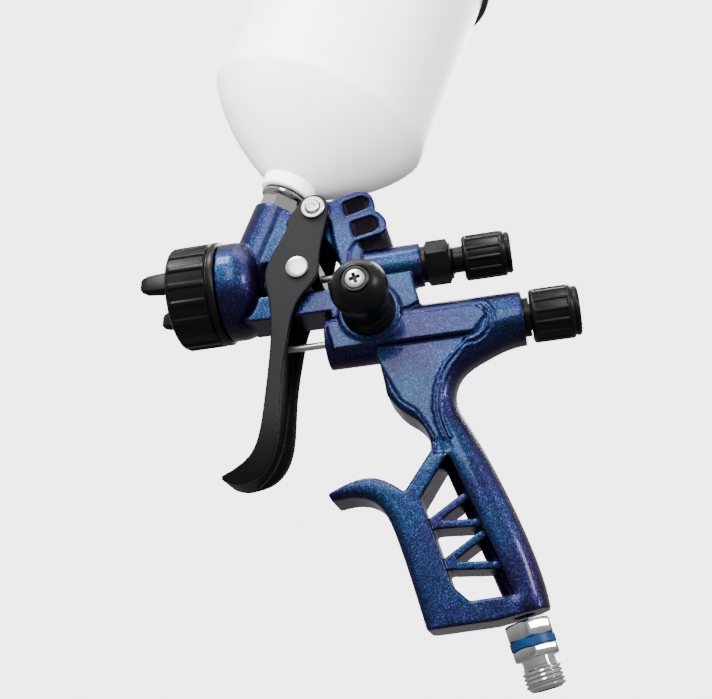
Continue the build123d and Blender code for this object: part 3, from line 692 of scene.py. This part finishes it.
def cast(piece: bpy.types.Object, voxel: float, rounds: int, most: int) -> None:
    """Round every edge of a piece, as casting and paint do.

    Args:
        piece: the closed mesh.
        voxel: cell of the remesh in millimetres.
        rounds: smoothing rounds.
        most: triangles it may keep.
    """
    apply_modifier(piece, "REMESH", mode="VOXEL", voxel_size=voxel * MM, adaptivity=0.0)
    apply_modifier(piece, "SMOOTH", factor=0.5, iterations=rounds)
    triangles = sum(len(face.vertices) - 2 for face in piece.data.polygons)
    if triangles > most:
        apply_modifier(piece, "DECIMATE", ratio=most / triangles)


@dataclass(frozen=True)
class Place:
    """Where turned pieces stand."""

    head_x: float = -52.6327
    head_z: float = 151.6879
    cup_x: float = -23.7
    cup_z: float = 38.1
    cup_lean: float = 25.0
    inlet_lean: float = 10.7

    def stand(self, origin: Vector, along: Vector, first: Vector) -> Matrix:
        """A frame in metres whose Z runs along the axis and X along first."""
        second = along.cross(first)
        return Matrix.Translation(origin * MM) @ Matrix((first, second, along)).transposed().to_4x4()

    def barrel(self, node: str) -> Matrix:
        """Frame on a node that is turned along X, at its front end."""
        low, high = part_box(node)
        middle = Vector((low[0], (low[1] + high[1]) / 2, (low[2] + high[2]) / 2)) / MM
        return self.stand(middle, Vector((1, 0, 0)), Vector((0, 0, 1)))

    def cup(self) -> Matrix:
        """Frame up the cup's axis, at its foot."""
        lean = math.radians(self.cup_lean)
        foot = Vector((self.head_x + self.cup_x, 0.0, self.head_z + self.cup_z))
        along = Vector((math.sin(lean), 0, math.cos(lean)))
        return self.stand(foot, along, Vector((math.cos(lean), 0, -math.sin(lean))))

    def inlet(self) -> Matrix:
        """Frame up the air inlet's axis, in the middle of its thread."""
        lean = -math.radians(self.inlet_lean)
        return self.stand(Vector((0, 0, 0)), Vector((math.sin(lean), 0, math.cos(lean))),
                           Vector((math.cos(lean), 0, -math.sin(lean))))

    def flank(self, node: str, out: int = -1) -> Matrix:
        """Frame on a node that is turned along Y, at its inner end, running outwards."""
        low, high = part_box(node)
        y = high[1] if out < 0 else low[1]
        middle = Vector(((low[0] + high[0]) / 2, y, (low[2] + high[2]) / 2)) / MM
        return self.stand(middle, Vector((0, out, 0)), Vector((1, 0, 0)))

@dataclass
class Assembly:
    """What every sub-assembly has: the frame, the palette and its place."""

    frame: dict
    palette: Palette
    place: Place

    def dress(self, piece: bpy.types.Object, body: str, slot: str, *nodes: str, angle: float = 30.0) -> None:
        """Give a piece its finish and its body, and hide the CAD nodes it stands for.

        Args:
            piece: the finished mesh.
            body: the body it rides on.
            slot: the record's material slot.
            *nodes: CAD nodes it stands for.
            angle: degrees up to which shading is smooth.
        """
        pick(piece)
        bpy.ops.object.shade_smooth_by_angle(angle=math.radians(angle), keep_sharp_edges=False)
        piece.data.materials.clear()
        piece.data.materials.append(self.palette.by_slot[slot])
        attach(piece, body)
        if nodes:
            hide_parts(*nodes)
        LOG.info("%s: %d faces", piece.name, len(piece.data.polygons))

    def fit(self, piece: bpy.types.Object, where: Matrix, body: str, slot: str, *nodes: str,
            angle: float = 30.0) -> None:
        """Move a piece to its place and dress it.

        Args:
            piece: the finished mesh, made round the world's Z axis.
            where: the frame it stands in.
            body: the body it rides on.
            slot: the record's material slot.
            *nodes: CAD nodes it stands for.
            angle: degrees up to which shading is smooth.
        """
        settle(piece, where)
        self.dress(piece, body, slot, *nodes, angle=angle)

    def length(self, node: str, axis: int = 0) -> float:
        """A node's size along an axis in millimetres."""
        low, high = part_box(node)
        return (high[axis] - low[axis]) / MM


# ---- gun body --------------------------------------------------------------------------------
Line2D = list[tuple[float, float]]


def arc(x: float, z: float, radius: float, start: float, stop: float, steps: int = 8) -> Line2D:
    """Points round an arc in the side plane.

    Args:
        x: station of the centre in millimetres.
        z: height of the centre in millimetres.
        radius: millimetres.
        start: angle of the first point in degrees, from +X towards +Z.
        stop: angle of the last point in degrees.
        steps: pieces the arc is cut into.

    Returns:
        The points.
    """
    angles = (math.radians(start + (stop - start) * n / steps) for n in range(steps + 1))
    return [(x + radius * math.cos(angle), z + radius * math.sin(angle)) for angle in angles]


def off_line(x: float, z: float, line: Line2D) -> float:
    """How far a point lies from a line of points in the side plane.

    Args:
        x: station from the head datum in millimetres.
        z: height from the head datum in millimetres.
        line: the line's points.

    Returns:
        The distance in millimetres.
    """
    nearest = math.inf
    for (x0, z0), (x1, z1) in zip(line, line[1:]):
        run, rise = x1 - x0, z1 - z0
        share = ((x - x0) * run + (z - z0) * rise) / (run * run + rise * rise)
        share = max(0.0, min(1.0, share))
        nearest = min(nearest, math.hypot(x - x0 - share * run, z - z0 - share * rise))
    return nearest


@dataclass(frozen=True)
class Bend:
    """A bar's middle line: round an arc, then straight down at a lean, from the head datum."""

    x: float
    z: float
    radius: float
    start: float
    lean: float
    foot: float
    forward: bool = False

    def line(self, offset: float = 0.0) -> Line2D:
        """The line's points.

        Args:
            offset: how far out from the arc's centre the line is moved, in millimetres.

        Returns:
            The points, from the top down.
        """
        stop = self.lean if self.forward else 180.0 + self.lean
        points = arc(self.x, self.z, self.radius + offset, self.start, stop)
        x, z = points[-1]
        return points + [(x + (z - self.foot) * math.tan(math.radians(self.lean)), self.foot)]


@dataclass
class GunBody(Assembly):
    """The painted forging, its edges rounded by casting and lacquer."""

    voxel: float = 0.48
    most_triangles: int = 190000
    rear_bar: Bend = Bend(x=54.0, z=-60.0, radius=22.4, start=90.0, lean=16.3, foot=-126.0)
    bar_half: float = 6.4
    front_bar: Bend = Bend(x=0.5, z=-98.0, radius=12.0, start=122.0, lean=13.3, foot=-131.0, forward=True)
    nose_half: float = 3.6
    curl_x: float = 42.5
    curl_z: float = -29.0
    curl_r: float = 7.2
    ridge_in: float = 4.2
    ridge_gap: float = 2.2
    ridge_start: float = 133.0
    ridge_foot: float = -71.0
    ridge_half: float = 0.55
    ridge_rise: float = 0.5

    def near(self, place: Vector, line: Line2D, reach: float) -> bool:
        """Whether a vertex lies within reach of a line on either flank."""
        x, z = place.x / MM - self.place.head_x, place.z / MM - self.place.head_z
        return -134.0 < z < -20.0 and off_line(x, z, line) < reach

    def round_bar(self, body: bpy.types.Object) -> None:
        """Roll the grip's two bars round without touching their outline."""
        bars = ((self.rear_bar.line(), self.bar_half, 140), (self.front_bar.line(), self.nose_half, 60))
        for line, reach, rounds in bars:
            edit(body, lambda place: self.near(place, line, reach))
            bpy.ops.mesh.vertices_smooth(factor=0.5, repeat=rounds, xaxis=False, yaxis=True, zaxis=False)
            bpy.ops.object.mode_set(mode="OBJECT")

    def ridges(self, body: bpy.types.Object) -> None:
        """Raise the double ridge that sweeps from the tube down the grip."""
        sweep = replace(self.rear_bar, start=self.ridge_start, foot=self.ridge_foot)
        for step in (0.0, self.ridge_gap):
            curl = arc(self.curl_x, self.curl_z, self.curl_r + step, 45.0, -100.0)
            line = curl + sweep.line(self.ridge_in - step)
            for out in (-1, 1):
                edit(body, lambda place: place.y * out > 4.0 * MM and self.near(place, line, self.ridge_half))
                bpy.ops.transform.translate(value=(0.0, out * self.ridge_rise * MM, 0.0))
                bpy.ops.object.mode_set(mode="OBJECT")

    def build(self) -> None:
        """Make and dress the body."""
        body = cad_copy(self.frame["nodes"]["gun_body"], "body_forging")
        apply_modifier(body, "REMESH", mode="VOXEL", voxel_size=self.voxel * MM, adaptivity=0.0)
        apply_modifier(body, "SMOOTH", factor=0.5, iterations=3)
        self.round_bar(body)
        self.ridges(body)
        apply_modifier(body, "SMOOTH", factor=0.5, iterations=1)
        triangles = sum(len(face.vertices) - 2 for face in body.data.polygons)
        apply_modifier(body, "DECIMATE", ratio=self.most_triangles / triangles)
        self.dress(body, "gun", "paint", "gun_body", angle=60.0)


# ---- nozzle set ------------------------------------------------------------------------------
@dataclass
class NozzleSet(Assembly):
    """Ring and air cap with horns."""

    ring_r: float = 20.25
    mouth_r: float = 15.0
    lip: float = 2.6
    flutes: int = 18
    cap_face: float = 3.0
    horn_y: float = 13.2
    horn_tilt: float = 12.0

    def ring(self) -> None:
        """The knurled retaining ring."""
        r, end = self.ring_r, self.length("air_cap_ring")
        band = end - 3.4
        profile = [(self.mouth_r, 0.9), (self.mouth_r + 0.5, 0.0), (r - 1.9, 0.0), (r - 0.7, 0.7),
            (r, 2.0), (r, 2.6), (r, band - 0.8), (r, band), (r - 0.9, band + 0.3), (r - 0.9, band + 0.9),
            (r - 0.1, band + 1.2), (r - 0.1, end - 0.5), (r - 0.6, end), (r - 2.4, end),
            (r - 2.4, self.lip), (self.mouth_r, self.lip)]
        ring = turn("cap_ring", profile, steps=self.flutes * 10, closed=True)
        flute(ring, self.flutes, 1.5, band - 0.4, 0.72, 0.75, r)
        soften(ring, 0.14)
        self.fit(ring, self.place.barrel("air_cap_ring"), "cap_ring", "black_anodised", "air_cap_ring")

    def horn(self, reach: float) -> bpy.types.Object:
        """One horn pointing down Z from the cap's face, out along X."""
        bpy.ops.object.select_all(action="DESELECT")
        root = Vector((self.horn_y - 1.7, 0.0, 0.0))
        bpy.ops.mesh.primitive_cube_add(size=MM, location=root * MM)
        horn = bpy.context.object
        bpy.ops.transform.resize(value=(4.2, 8.6, 3.0))
        bpy.ops.object.transform_apply(location=True, rotation=True, scale=True)
        for drop, shrink, inward in ((reach - 4.6, (0.82, 0.90, 1.0), 0.25), (2.2, (0.72, 0.78, 1.0),
            0.35), (0.9, (0.6, 0.6, 1.0), 0.1)):
            floor = min(vertex.co.z for vertex in horn.data.vertices)
            edit(horn, lambda middle: middle.z < floor + 0.01 * MM, "FACE")
            bpy.ops.mesh.extrude_region_move(TRANSFORM_OT_translate={"value": (inward * MM, 0.0, -drop * MM)})
            bpy.ops.transform.resize(value=shrink)
            bpy.ops.object.mode_set(mode="OBJECT")
        edit(horn, lambda middle: True, "FACE")
        close(horn)
        soften(horn, 0.7, 3, 40.0)
        return horn

    def cap(self) -> None:
        """The air cap with its two horns and air holes."""
        face, rim = self.cap_face, self.mouth_r - 0.6
        reach = self.length("air_cap") - 5.4
        profile = [(2.9, 0.0), (rim - 4.4, 0.0), (rim - 2.2, 0.0), (rim - 1.2, 0.5), (rim, 1.3),
            (rim, face + 0.4), (rim + 2.7, face + 0.4), (rim + 2.7, face + 2.4), (rim - 3.0, face + 2.4),
            (rim - 4.2, 3.4), (2.9, 1.4)]
        cap = turn("air_cap_horned", profile, steps=96, closed=True)
        soften(cap, 0.12)
        bpy.ops.object.select_all(action="DESELECT")
        for way in (0.5, 1.5, 2.5, 3.5):
            for out, hole in ((5.2, 0.55), (8.0, 0.7)):
                angle = way * math.pi / 2
                bpy.ops.mesh.primitive_cylinder_add(vertices=20, radius=hole * MM, depth=3.0 * MM,
                    location=(math.cos(angle) * out * MM, math.sin(angle) * out * MM, 0.0))
                drill = bpy.context.object
                bpy.ops.object.transform_apply(location=True, rotation=True, scale=True)
                combine(cap, drill, "DIFFERENCE")
        horns = []
        for way in (0.0, math.pi):
            horn = self.horn(reach)
            settle(horn, Matrix.Rotation(way, 4, "Z"))
            horns.append(horn)
        join(cap, *horns)
        low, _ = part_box("air_cap")
        lean = math.radians(self.horn_tilt)
        origin = Vector((low[0] / MM + reach, 0.0, self.place.head_z))
        matrix = self.place.stand(origin, Vector((1, 0, 0)), Vector((0, -math.cos(lean), math.sin(lean))))
        self.fit(cap, matrix, "air_cap", "black_anodised", "air_cap")

    def build(self) -> None:
        """Make and dress the set."""
        self.ring()
        self.cap()


# ---- cup -------------------------------------------------------------------------------------
@dataclass
class CupSet(Assembly):
    """Adapter, paint cup, lid and vent plug."""

    cup_r: float = 44.5
    wall: float = 1.8
    neck_r: float = 11.0
    neck_len: float = 6.0
    shoulder: float = 34.0
    height: float = 126.0
    hex_len: float = 6.2
    flange_len: float = 1.6
    flange_r: float = 9.5
    lid_len: float = 15.6
    lid_skirt: float = 2.1
    gap: float = 0.4
    ribs: int = 72
    inset: float = 0.02

    def adapter(self) -> None:
        """Plated adapter: hexagon, flange and threaded stub."""
        low = -self.hex_len - self.flange_len
        nut = prism("cup_adapter_hex", 6, 14.4, low, -self.flange_len, crown=0.5)
        soften(nut, 0.12)
        flange = turn("cup_adapter_flange", [(0.0, -self.flange_len),
            (self.flange_r - 0.4, -self.flange_len), (self.flange_r, -1.2), (self.flange_r, -0.4),
            (self.flange_r - 0.3, -0.05), (7.0, 0.0), (6.6, 0.4), (6.6, self.neck_len - 0.8),
            (6.2, self.neck_len), (3.2, self.neck_len), (3.0, self.neck_len - 0.4), (3.0, 1.0),
            (0.0, 0.6)], 96)
        join(nut, flange)
        self.fit(nut, self.place.cup(), "gun", "chrome_plate", "cup_adapter")

    def cup(self) -> None:
        """The milky cup: neck, funnel, straight wall and rolled rim."""
        foot, bore, r, wall = 0.8 + self.gap, self.neck_r - 4.0 + self.gap, self.cup_r, self.wall
        outside = [(self.neck_r - 0.5, foot), (self.neck_r, foot + 0.5), (self.neck_r, self.neck_len + 0.4)]
        reach, rise, base = r - self.neck_r, self.shoulder - self.neck_len + 2.0, self.neck_len + 0.4
        for n in range(1, 21):
            t = n / 20
            flare = t * t * (3 - 2 * t) * 0.35 + t * 0.65
            out = self.neck_r + reach * flare * min(1.0, 0.78 + 0.22 * t) ** 0.5
            outside.append((out, base + rise * (t ** 1.55)))
        outside += [(r, self.shoulder + 6.0), (r, self.height - 8.0), (r, self.height - 0.5),
            (r - 0.5, self.height)]
        inside = [(max(bore, x - wall), z + (0.9 if z < self.shoulder else 0.0)) for x,
            z in reversed(outside[2:-1])]
        inside[0] = (r - wall, self.height)
        cup = turn("paint_cup", outside + inside + [(bore, self.neck_len + 1.6), (bore, foot)], steps=128,
            closed=True)
        self.fit(cup, self.place.cup(), "cup", "cup_plastic", "cup", angle=40.0)

    def lid(self) -> None:
        """Black screw lid with a ribbed skirt, and the vent plug on its boss."""
        r = self.cup_r + self.gap + self.lid_skirt - self.inset
        low = self.height + 3.6 - self.lid_len
        top = low + self.lid_len
        profile = [(self.cup_r + self.gap, low + 0.4), (self.cup_r + self.gap + 0.4, low), (r - 0.4, low),
            (r, low + 0.5), (r, low + 1.6), (r, low + 2.0), (r, top - 2.6), (r, top - 2.2),
            (r - 0.4, top - 1.0), (r - 1.4, top), (r - 5.0, top), (r - 5.6, top - 0.6), (13.0, top - 0.6),
            (12.4, top), (9.0, top), (9.0, top + 1.2), (8.6, top + 1.6), (2.6, top + 1.6),
            (2.6, top - 2.0), (self.cup_r + self.gap, top - 2.0)]
        lid = turn("lid_ribbed", profile, steps=self.ribs * 4, closed=True)
        flute(lid, self.ribs, low + 1.8, top - 2.4, 0.5, 0.45, r)
        self.fit(lid, self.place.cup(), "lid", "lid_plastic", "cup_lid")
        foot = top + 1.6 + self.gap
        plug = turn("vent_plug_cap", [(0.0, top - 4.0), (2.2, top - 4.0), (2.55, top - 3.4), (2.55, foot),
            (5.6, foot), (6.0, foot + 0.4), (6.0, foot + 0.7), (6.0, foot + 2.0), (5.4, foot + 2.5),
            (3.0, foot + 2.6), (0.0, foot + 2.6)], 96)
        flute(plug, 16, foot + 0.5, foot + 2.2, 0.4, 0.4, 6.0)
        soften(plug, 0.1)
        self.fit(plug, self.place.cup(), "vent_plug", "lid_plastic", "vent_plug")

    def build(self) -> None:
        """Make and dress the set."""
        self.adapter()
        self.cup()
        self.lid()


# ---- trigger ---------------------------------------------------------------------------------
@dataclass
class TriggerSet(Assembly):
    """Trigger, its rivets, and the pivot with its spring clips."""

    pin_r: float = 2.4
    rivet_r: float = 4.35
    voxel: float = 0.36
    rounds: int = 6
    most_triangles: int = 120000

    def build(self) -> None:
        """Make and dress the set."""
        lever = cad_copy(self.frame["nodes"]["trigger"], "trigger_lever")
        cast(lever, self.voxel, self.rounds, self.most_triangles)
        self.dress(lever, "trigger", "trigger_black", "trigger", angle=60.0)
        rivets = []
        pins = []
        clips = []
        inner = self.length("trigger_rivets", 1) / 2
        half = self.length("pivot_pin", 1) / 2
        for out in (-1, 1):
            rivet = turn("rivets_pair", [(0.0, 0.0), (self.rivet_r, 0.0), (self.rivet_r, 0.7),
                (self.rivet_r - 0.15, 1.0), (self.rivet_r - 0.6, 1.2), (self.rivet_r - 2.0, 1.28),
                (0.0, 1.3)], 72)
            stub = turn("stub", [(0.0, -8.0), (2.4, -8.0), (2.45, -7.6), (2.45, 0.2), (0.0, 0.2)], 48)
            join(rivet, stub)
            matrix = self.place.flank("trigger_rivets", out)
            matrix.translation.y = out * (inner - 1.3) * MM
            settle(rivet, matrix)
            rivets.append(rivet)
            pin = turn("pivot_pin_turned", [(0.0, -half), (self.pin_r, -half), (self.pin_r, -1.6),
                (self.pin_r - 0.5, -1.5), (self.pin_r - 0.5, -0.9), (self.pin_r + 0.3, -0.8),
                (self.pin_r + 0.3, -0.5), (self.pin_r - 0.1, -0.1), (1.2, 0.0), (0.9, -0.25),
                (0.0, -0.35)], 72)
            matrix = self.place.flank("pivot_pin", out)
            matrix.translation.y = out * half * MM
            settle(pin, matrix)
            pins.append(pin)
            r = self.pin_r + 0.5
            clip = turn("clips_pair", [(r, 0.1), (r + 0.3, 0.0), (r + 1.3, 0.0), (r + 1.6, 0.25),
                (r + 1.6, 0.65), (r + 1.3, 0.9), (r + 0.3, 0.9), (r, 0.7)], 64, closed=True)
            matrix = self.place.flank("pivot_clips", out)
            matrix.translation.y = out * (self.length("pivot_clips", 1) / 2 - 0.9) * MM
            settle(clip, matrix)
            clips.append(clip)
        for pair, node, body in ((rivets, "trigger_rivets", "trigger"), (pins, "pivot_pin", "gun"),
            (clips, "pivot_clips", "gun")):
            join(*pair)
            self.dress(pair[0], body, "steel", node)


# ---- needle line, air valve line -------------------------------------------------------------
@dataclass
class Controls(Assembly):
    """The knobs, nut and sleeve behind the two tubes."""

    nut_af: float = 14.8
    nut_gap: float = 1.4
    nut_len: float = 8.9
    neck_r: float = 4.9
    tube_r: float = 7.45
    knob_r: float = 8.5
    air_knob_r: float = 9.8

    def knob(self, name: str, node: str, cap: str, body: str, r: float, count: int) -> None:
        """A fluted knob with its end cap.

        Args:
            name: the piece's name.
            node: CAD node of the knob.
            cap: CAD node of its end cap.
            body: body they turn with.
            r: radius in millimetres.
            count: number of flutes.
        """
        end, lid = self.length(node), self.length(cap)
        bore = self.neck_r + 0.25
        profile = [(bore, 0.0), (r - 0.9, 0.0), (r, 0.8), (r, 1.5), (r, 1.9), (r, end - 2.4),
            (r, end - 2.0), (r, end - 1.0), (r - 0.5, end - 0.3), (r - 1.0, end - 0.3),
            (r - 1.0, end + 0.1), (r - 0.7, end + 0.5), (r - 0.7, end + lid - 0.7), (r - 1.3, end + lid),
            (r - 3.4, end + lid), (r - 3.9, end + lid - 0.4), (0.0, end + lid - 0.4), (0.0, end - 2.0),
            (bore, end - 2.0)]
        piece = turn(name, profile, steps=count * 12, closed=True)
        flute(piece, count, 1.6, end - 2.1, 0.8, 0.5, r)
        soften(piece, 0.12)
        self.fit(piece, self.place.barrel(node), body, "black_anodised", node, cap)

    def build(self) -> None:
        """Make and dress them."""
        self.knob("fluid_knob_fluted", "fluid_knob", "fluid_knob_cap", "fluid_knob", self.knob_r, 12)
        self.knob("air_knob_fluted", "air_knob", "air_knob_cap", "air_knob", self.air_knob_r, 14)
        front = 5.0 + self.nut_gap
        nut = prism("needle_nut_hex", 6, self.nut_af, front, front + self.nut_len, crown=0.7)
        soften(nut, 0.15)
        end = self.length("needle_nut")
        neck = turn("needle_nut_neck", [(0.0, 0.0), (6.0, 0.0), (6.0, 5.0), (self.tube_r - 0.5, 5.0),
            (self.tube_r - 0.5, front + 0.2), (self.nut_af / 2 - 0.6, front + 0.2),
            (self.nut_af / 2 - 0.6, front + self.nut_len + 0.7),
            (self.neck_r + 0.5, front + self.nut_len + 1.0), (self.neck_r, front + self.nut_len + 1.6),
            (self.neck_r, end - 0.3), (self.neck_r - 0.3, end), (0.0, end)], 96)
        join(nut, neck)
        self.fit(nut, self.place.barrel("needle_nut"), "gun", "black_anodised", "needle_nut")


# ---- fan control -----------------------------------------------------------------------------
@dataclass
class FanControl(Assembly):
    """Domed side knob with its collar, plate and cross-head screw."""

    knob_r: float = 10.4
    foot_r: float = 8.2
    screw_r: float = 3.6
    collar_r: float = 9.9

    def build(self) -> None:
        """Make and dress it."""
        tall = self.length("fan_knob", 1)
        r = self.knob_r
        dome = [(4.1, 0.0), (self.foot_r - 0.4, 0.0), (self.foot_r, 0.4), (self.foot_r + 0.35, 3.0),
            (self.foot_r + 0.9, 6.4), (self.foot_r + 1.5, 9.4), (r - 0.2, 11.8), (r, 13.8),
            (r - 0.15, tall - 5.8), (r - 0.8, tall - 4.2), (r - 1.9, tall - 2.5), (r - 3.2, tall - 1.1),
            (r - 4.4, tall - 0.2), (r - 5.0, tall), (r - 5.4, tall - 0.5), (0.0, tall - 0.5),
            (0.0, tall - 2.5), (4.1, tall - 2.5), (4.1, 0.0)]
        knob = turn("fan_knob_domed", dome, steps=120)
        self.fit(knob, self.place.flank("fan_knob"), "fan_knob", "black_anodised", "fan_knob", angle=35.0)
        plate = turn("fan_plate_ring", [(self.screw_r + 0.1, 0.0), (self.screw_r + 0.1, 0.35),
            (self.screw_r + 0.4, 0.55), (r - 6.0, 0.55), (r - 5.65, 0.3), (r - 5.65, 0.0)], 96,
            closed=True)
        self.fit(plate, self.place.flank("fan_knob_plate"), "fan_knob", "grey_metal", "fan_knob_plate")
        s = self.screw_r
        screw_mid = self.place.flank("fan_screw").translation
        screw = turn("fan_screw_cross", [(0.0, -0.4), (s, -0.4), (s, 0.3), (s - 0.25, 0.7),
            (s - 1.0, 1.0), (s - 2.2, 1.16), (0.0, 1.2)], 72)
        for way in (0.08, 0.58):
            bpy.ops.object.select_all(action="DESELECT")
            bpy.ops.mesh.primitive_cube_add(size=MM, location=(0.0, 0.0, 1.2 * MM))
            slot = bpy.context.object
            bpy.ops.transform.resize(value=(6.4, 1.8, 1.9))
            bpy.ops.object.transform_apply(location=True, rotation=True, scale=True)
            edit(slot, lambda middle: middle.z < 0.5 * MM, "FACE")
            bpy.ops.transform.resize(value=(0.35, 0.5, 1.0))
            bpy.ops.object.mode_set(mode="OBJECT")
            settle(slot, Matrix.Rotation(way * math.pi, 4, "Z"))
            combine(screw, slot, "DIFFERENCE")
        self.fit(screw, self.place.flank("fan_screw"), "fan_knob", "steel", "fan_screw")
        # The cross recess's walls and floor take the black finish: painted shade in the slots of the steel
        # screw.
        screw.data.materials.append(self.palette.by_slot["black_anodised"])
        outer = min(vertex.co.y for vertex in screw.data.vertices)
        for face in screw.data.polygons:
            across = math.hypot(face.center.x - screw_mid.x, face.center.z - screw_mid.z)
            if across < 2.5 * MM and (abs(face.normal.y) < 0.9 or face.center.y > outer + 0.5 * MM):
                face.material_index = 1
        c, high = self.collar_r, self.length("fan_collar", 1)
        collar = turn("fan_collar_turned", [(4.2, 0.0), (c - 0.3, 0.0), (c, 0.3), (c, 1.6),
            (c - 0.4, 2.2), (c - 0.8, 3.0), (c - 1.1, 4.0), (c - 1.3, high - 0.4), (c - 1.7, high),
            (4.2, high)], 96, closed=True)
        self.fit(collar, self.place.flank("fan_collar"), "gun", "black_anodised", "fan_collar", angle=35.0)


# ---- air inlet -------------------------------------------------------------------------------
@dataclass
class AirInlet(Assembly):
    """Plated connector with its thread, the band and the nut."""

    thread_r: float = 6.58
    pitch: float = 1.34
    length_mm: float = 7.5
    neck_r: float = 5.4
    neck_len: float = 2.6
    lower_hex: float = 3.4
    band_len: float = 2.8
    upper_hex: float = 5.4
    flats: float = 14.6
    bore_r: float = 3.6
    band_r: float = 7.6

    def thread(self) -> bpy.types.Object:
        """The helical ridge of the thread, with a plain lead at either end."""
        bpy.ops.object.select_all(action="DESELECT")
        root = self.thread_r - 0.86
        half = self.pitch * 0.46
        ridge = turn("thread_ridge", [(root - 0.3, -half), (root, -half), (self.thread_r - 0.12, -0.12),
            (self.thread_r - 0.12, 0.12), (root, half), (root - 0.3, half)], steps=1, closed=True,
            angle=0.001)
        edit(ridge, lambda middle: middle.y > -MM)
        bpy.ops.mesh.remove_doubles(threshold=0.05 * MM)
        bpy.ops.mesh.delete(type="ONLY_FACE")
        bpy.ops.object.mode_set(mode="OBJECT")
        turns = int((self.length_mm - 1.2) / self.pitch)
        apply_modifier(ridge, "SCREW", angle=math.tau, screw_offset=self.pitch * MM, iterations=turns,
            steps=48, render_steps=48, axis="Z", use_normal_calculate=True, use_merge_vertices=False)
        edit(ridge, lambda middle: True)
        bpy.ops.mesh.select_all(action="SELECT")
        bpy.ops.transform.translate(value=(0.0, 0.0, -turns * self.pitch / 2 * MM))
        bpy.ops.mesh.select_all(action="DESELECT")
        bpy.ops.mesh.select_non_manifold()
        bpy.ops.mesh.edge_face_add()
        close(ridge)
        return ridge

    def build(self) -> None:
        """Make and dress it."""
        end = self.length_mm / 2
        hex_low = end + self.neck_len
        band_low = hex_low + self.lower_hex
        nut_low = band_low + self.band_len
        top = nut_low + self.upper_hex
        root = self.thread_r - 0.9
        core = turn("inlet_connector_turned", [(self.bore_r, -end), (root - 0.9, -end),
            (root, -end + 0.8), (root, end - 0.2), (self.neck_r, end), (self.neck_r, end + 0.4),
            (self.neck_r, hex_low + 0.3), (5.2, hex_low + 0.4), (5.2, top), (self.bore_r, top)], 96,
            closed=True)
        collar = prism("inlet_hex_lower", 6, self.flats, hex_low, band_low, crown=0.55)
        bore(collar, 5.0, hex_low, band_low)
        soften(collar, 0.15)
        join(core, collar, self.thread())
        self.fit(core, self.place.inlet(), "gun", "chrome_plate", "inlet_connector")
        band = turn("size_band_ring", [(5.25, band_low), (self.band_r - 0.3, band_low),
            (self.band_r, band_low + 0.3), (self.band_r, nut_low - 0.3), (self.band_r - 0.3, nut_low),
            (5.25, nut_low)], 96, closed=True)
        self.fit(band, self.place.inlet(), "gun", "blue_band", "size_band")
        nut = prism("inlet_nut_hex", 6, self.flats, nut_low, top, crown=0.6)
        bore(nut, 5.3, nut_low, top)
        soften(nut, 0.15)
        self.fit(nut, self.place.inlet(), "gun", "chrome_plate", "inlet_nut")


def main(frame: dict) -> None:
    """Build the looks.

    Args:
        frame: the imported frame.
    """
    logging.basicConfig(level=logging.INFO, format="%(name)s: %(message)s")
    studio = Studio()
    studio.set_up()
    palette = Palette()
    slots = {part["node"]: part["material_slot"] for part in frame["record"]["subparts"]}
    for name, node in frame["nodes"].items():
        node.data.materials.clear()
        node.data.materials.append(palette.by_slot[slots[name]])
    place = Place()
    for kind in (GunBody, NozzleSet, CupSet, TriggerSet, Controls, FanControl, AirInlet):
        kind(frame, palette, place).build()
        LOG.info("%s done", kind.__name__)
    studio.glow(bpy.data.objects["paint_cup"])


if __name__ == "__main__":
    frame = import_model()
    main(frame)
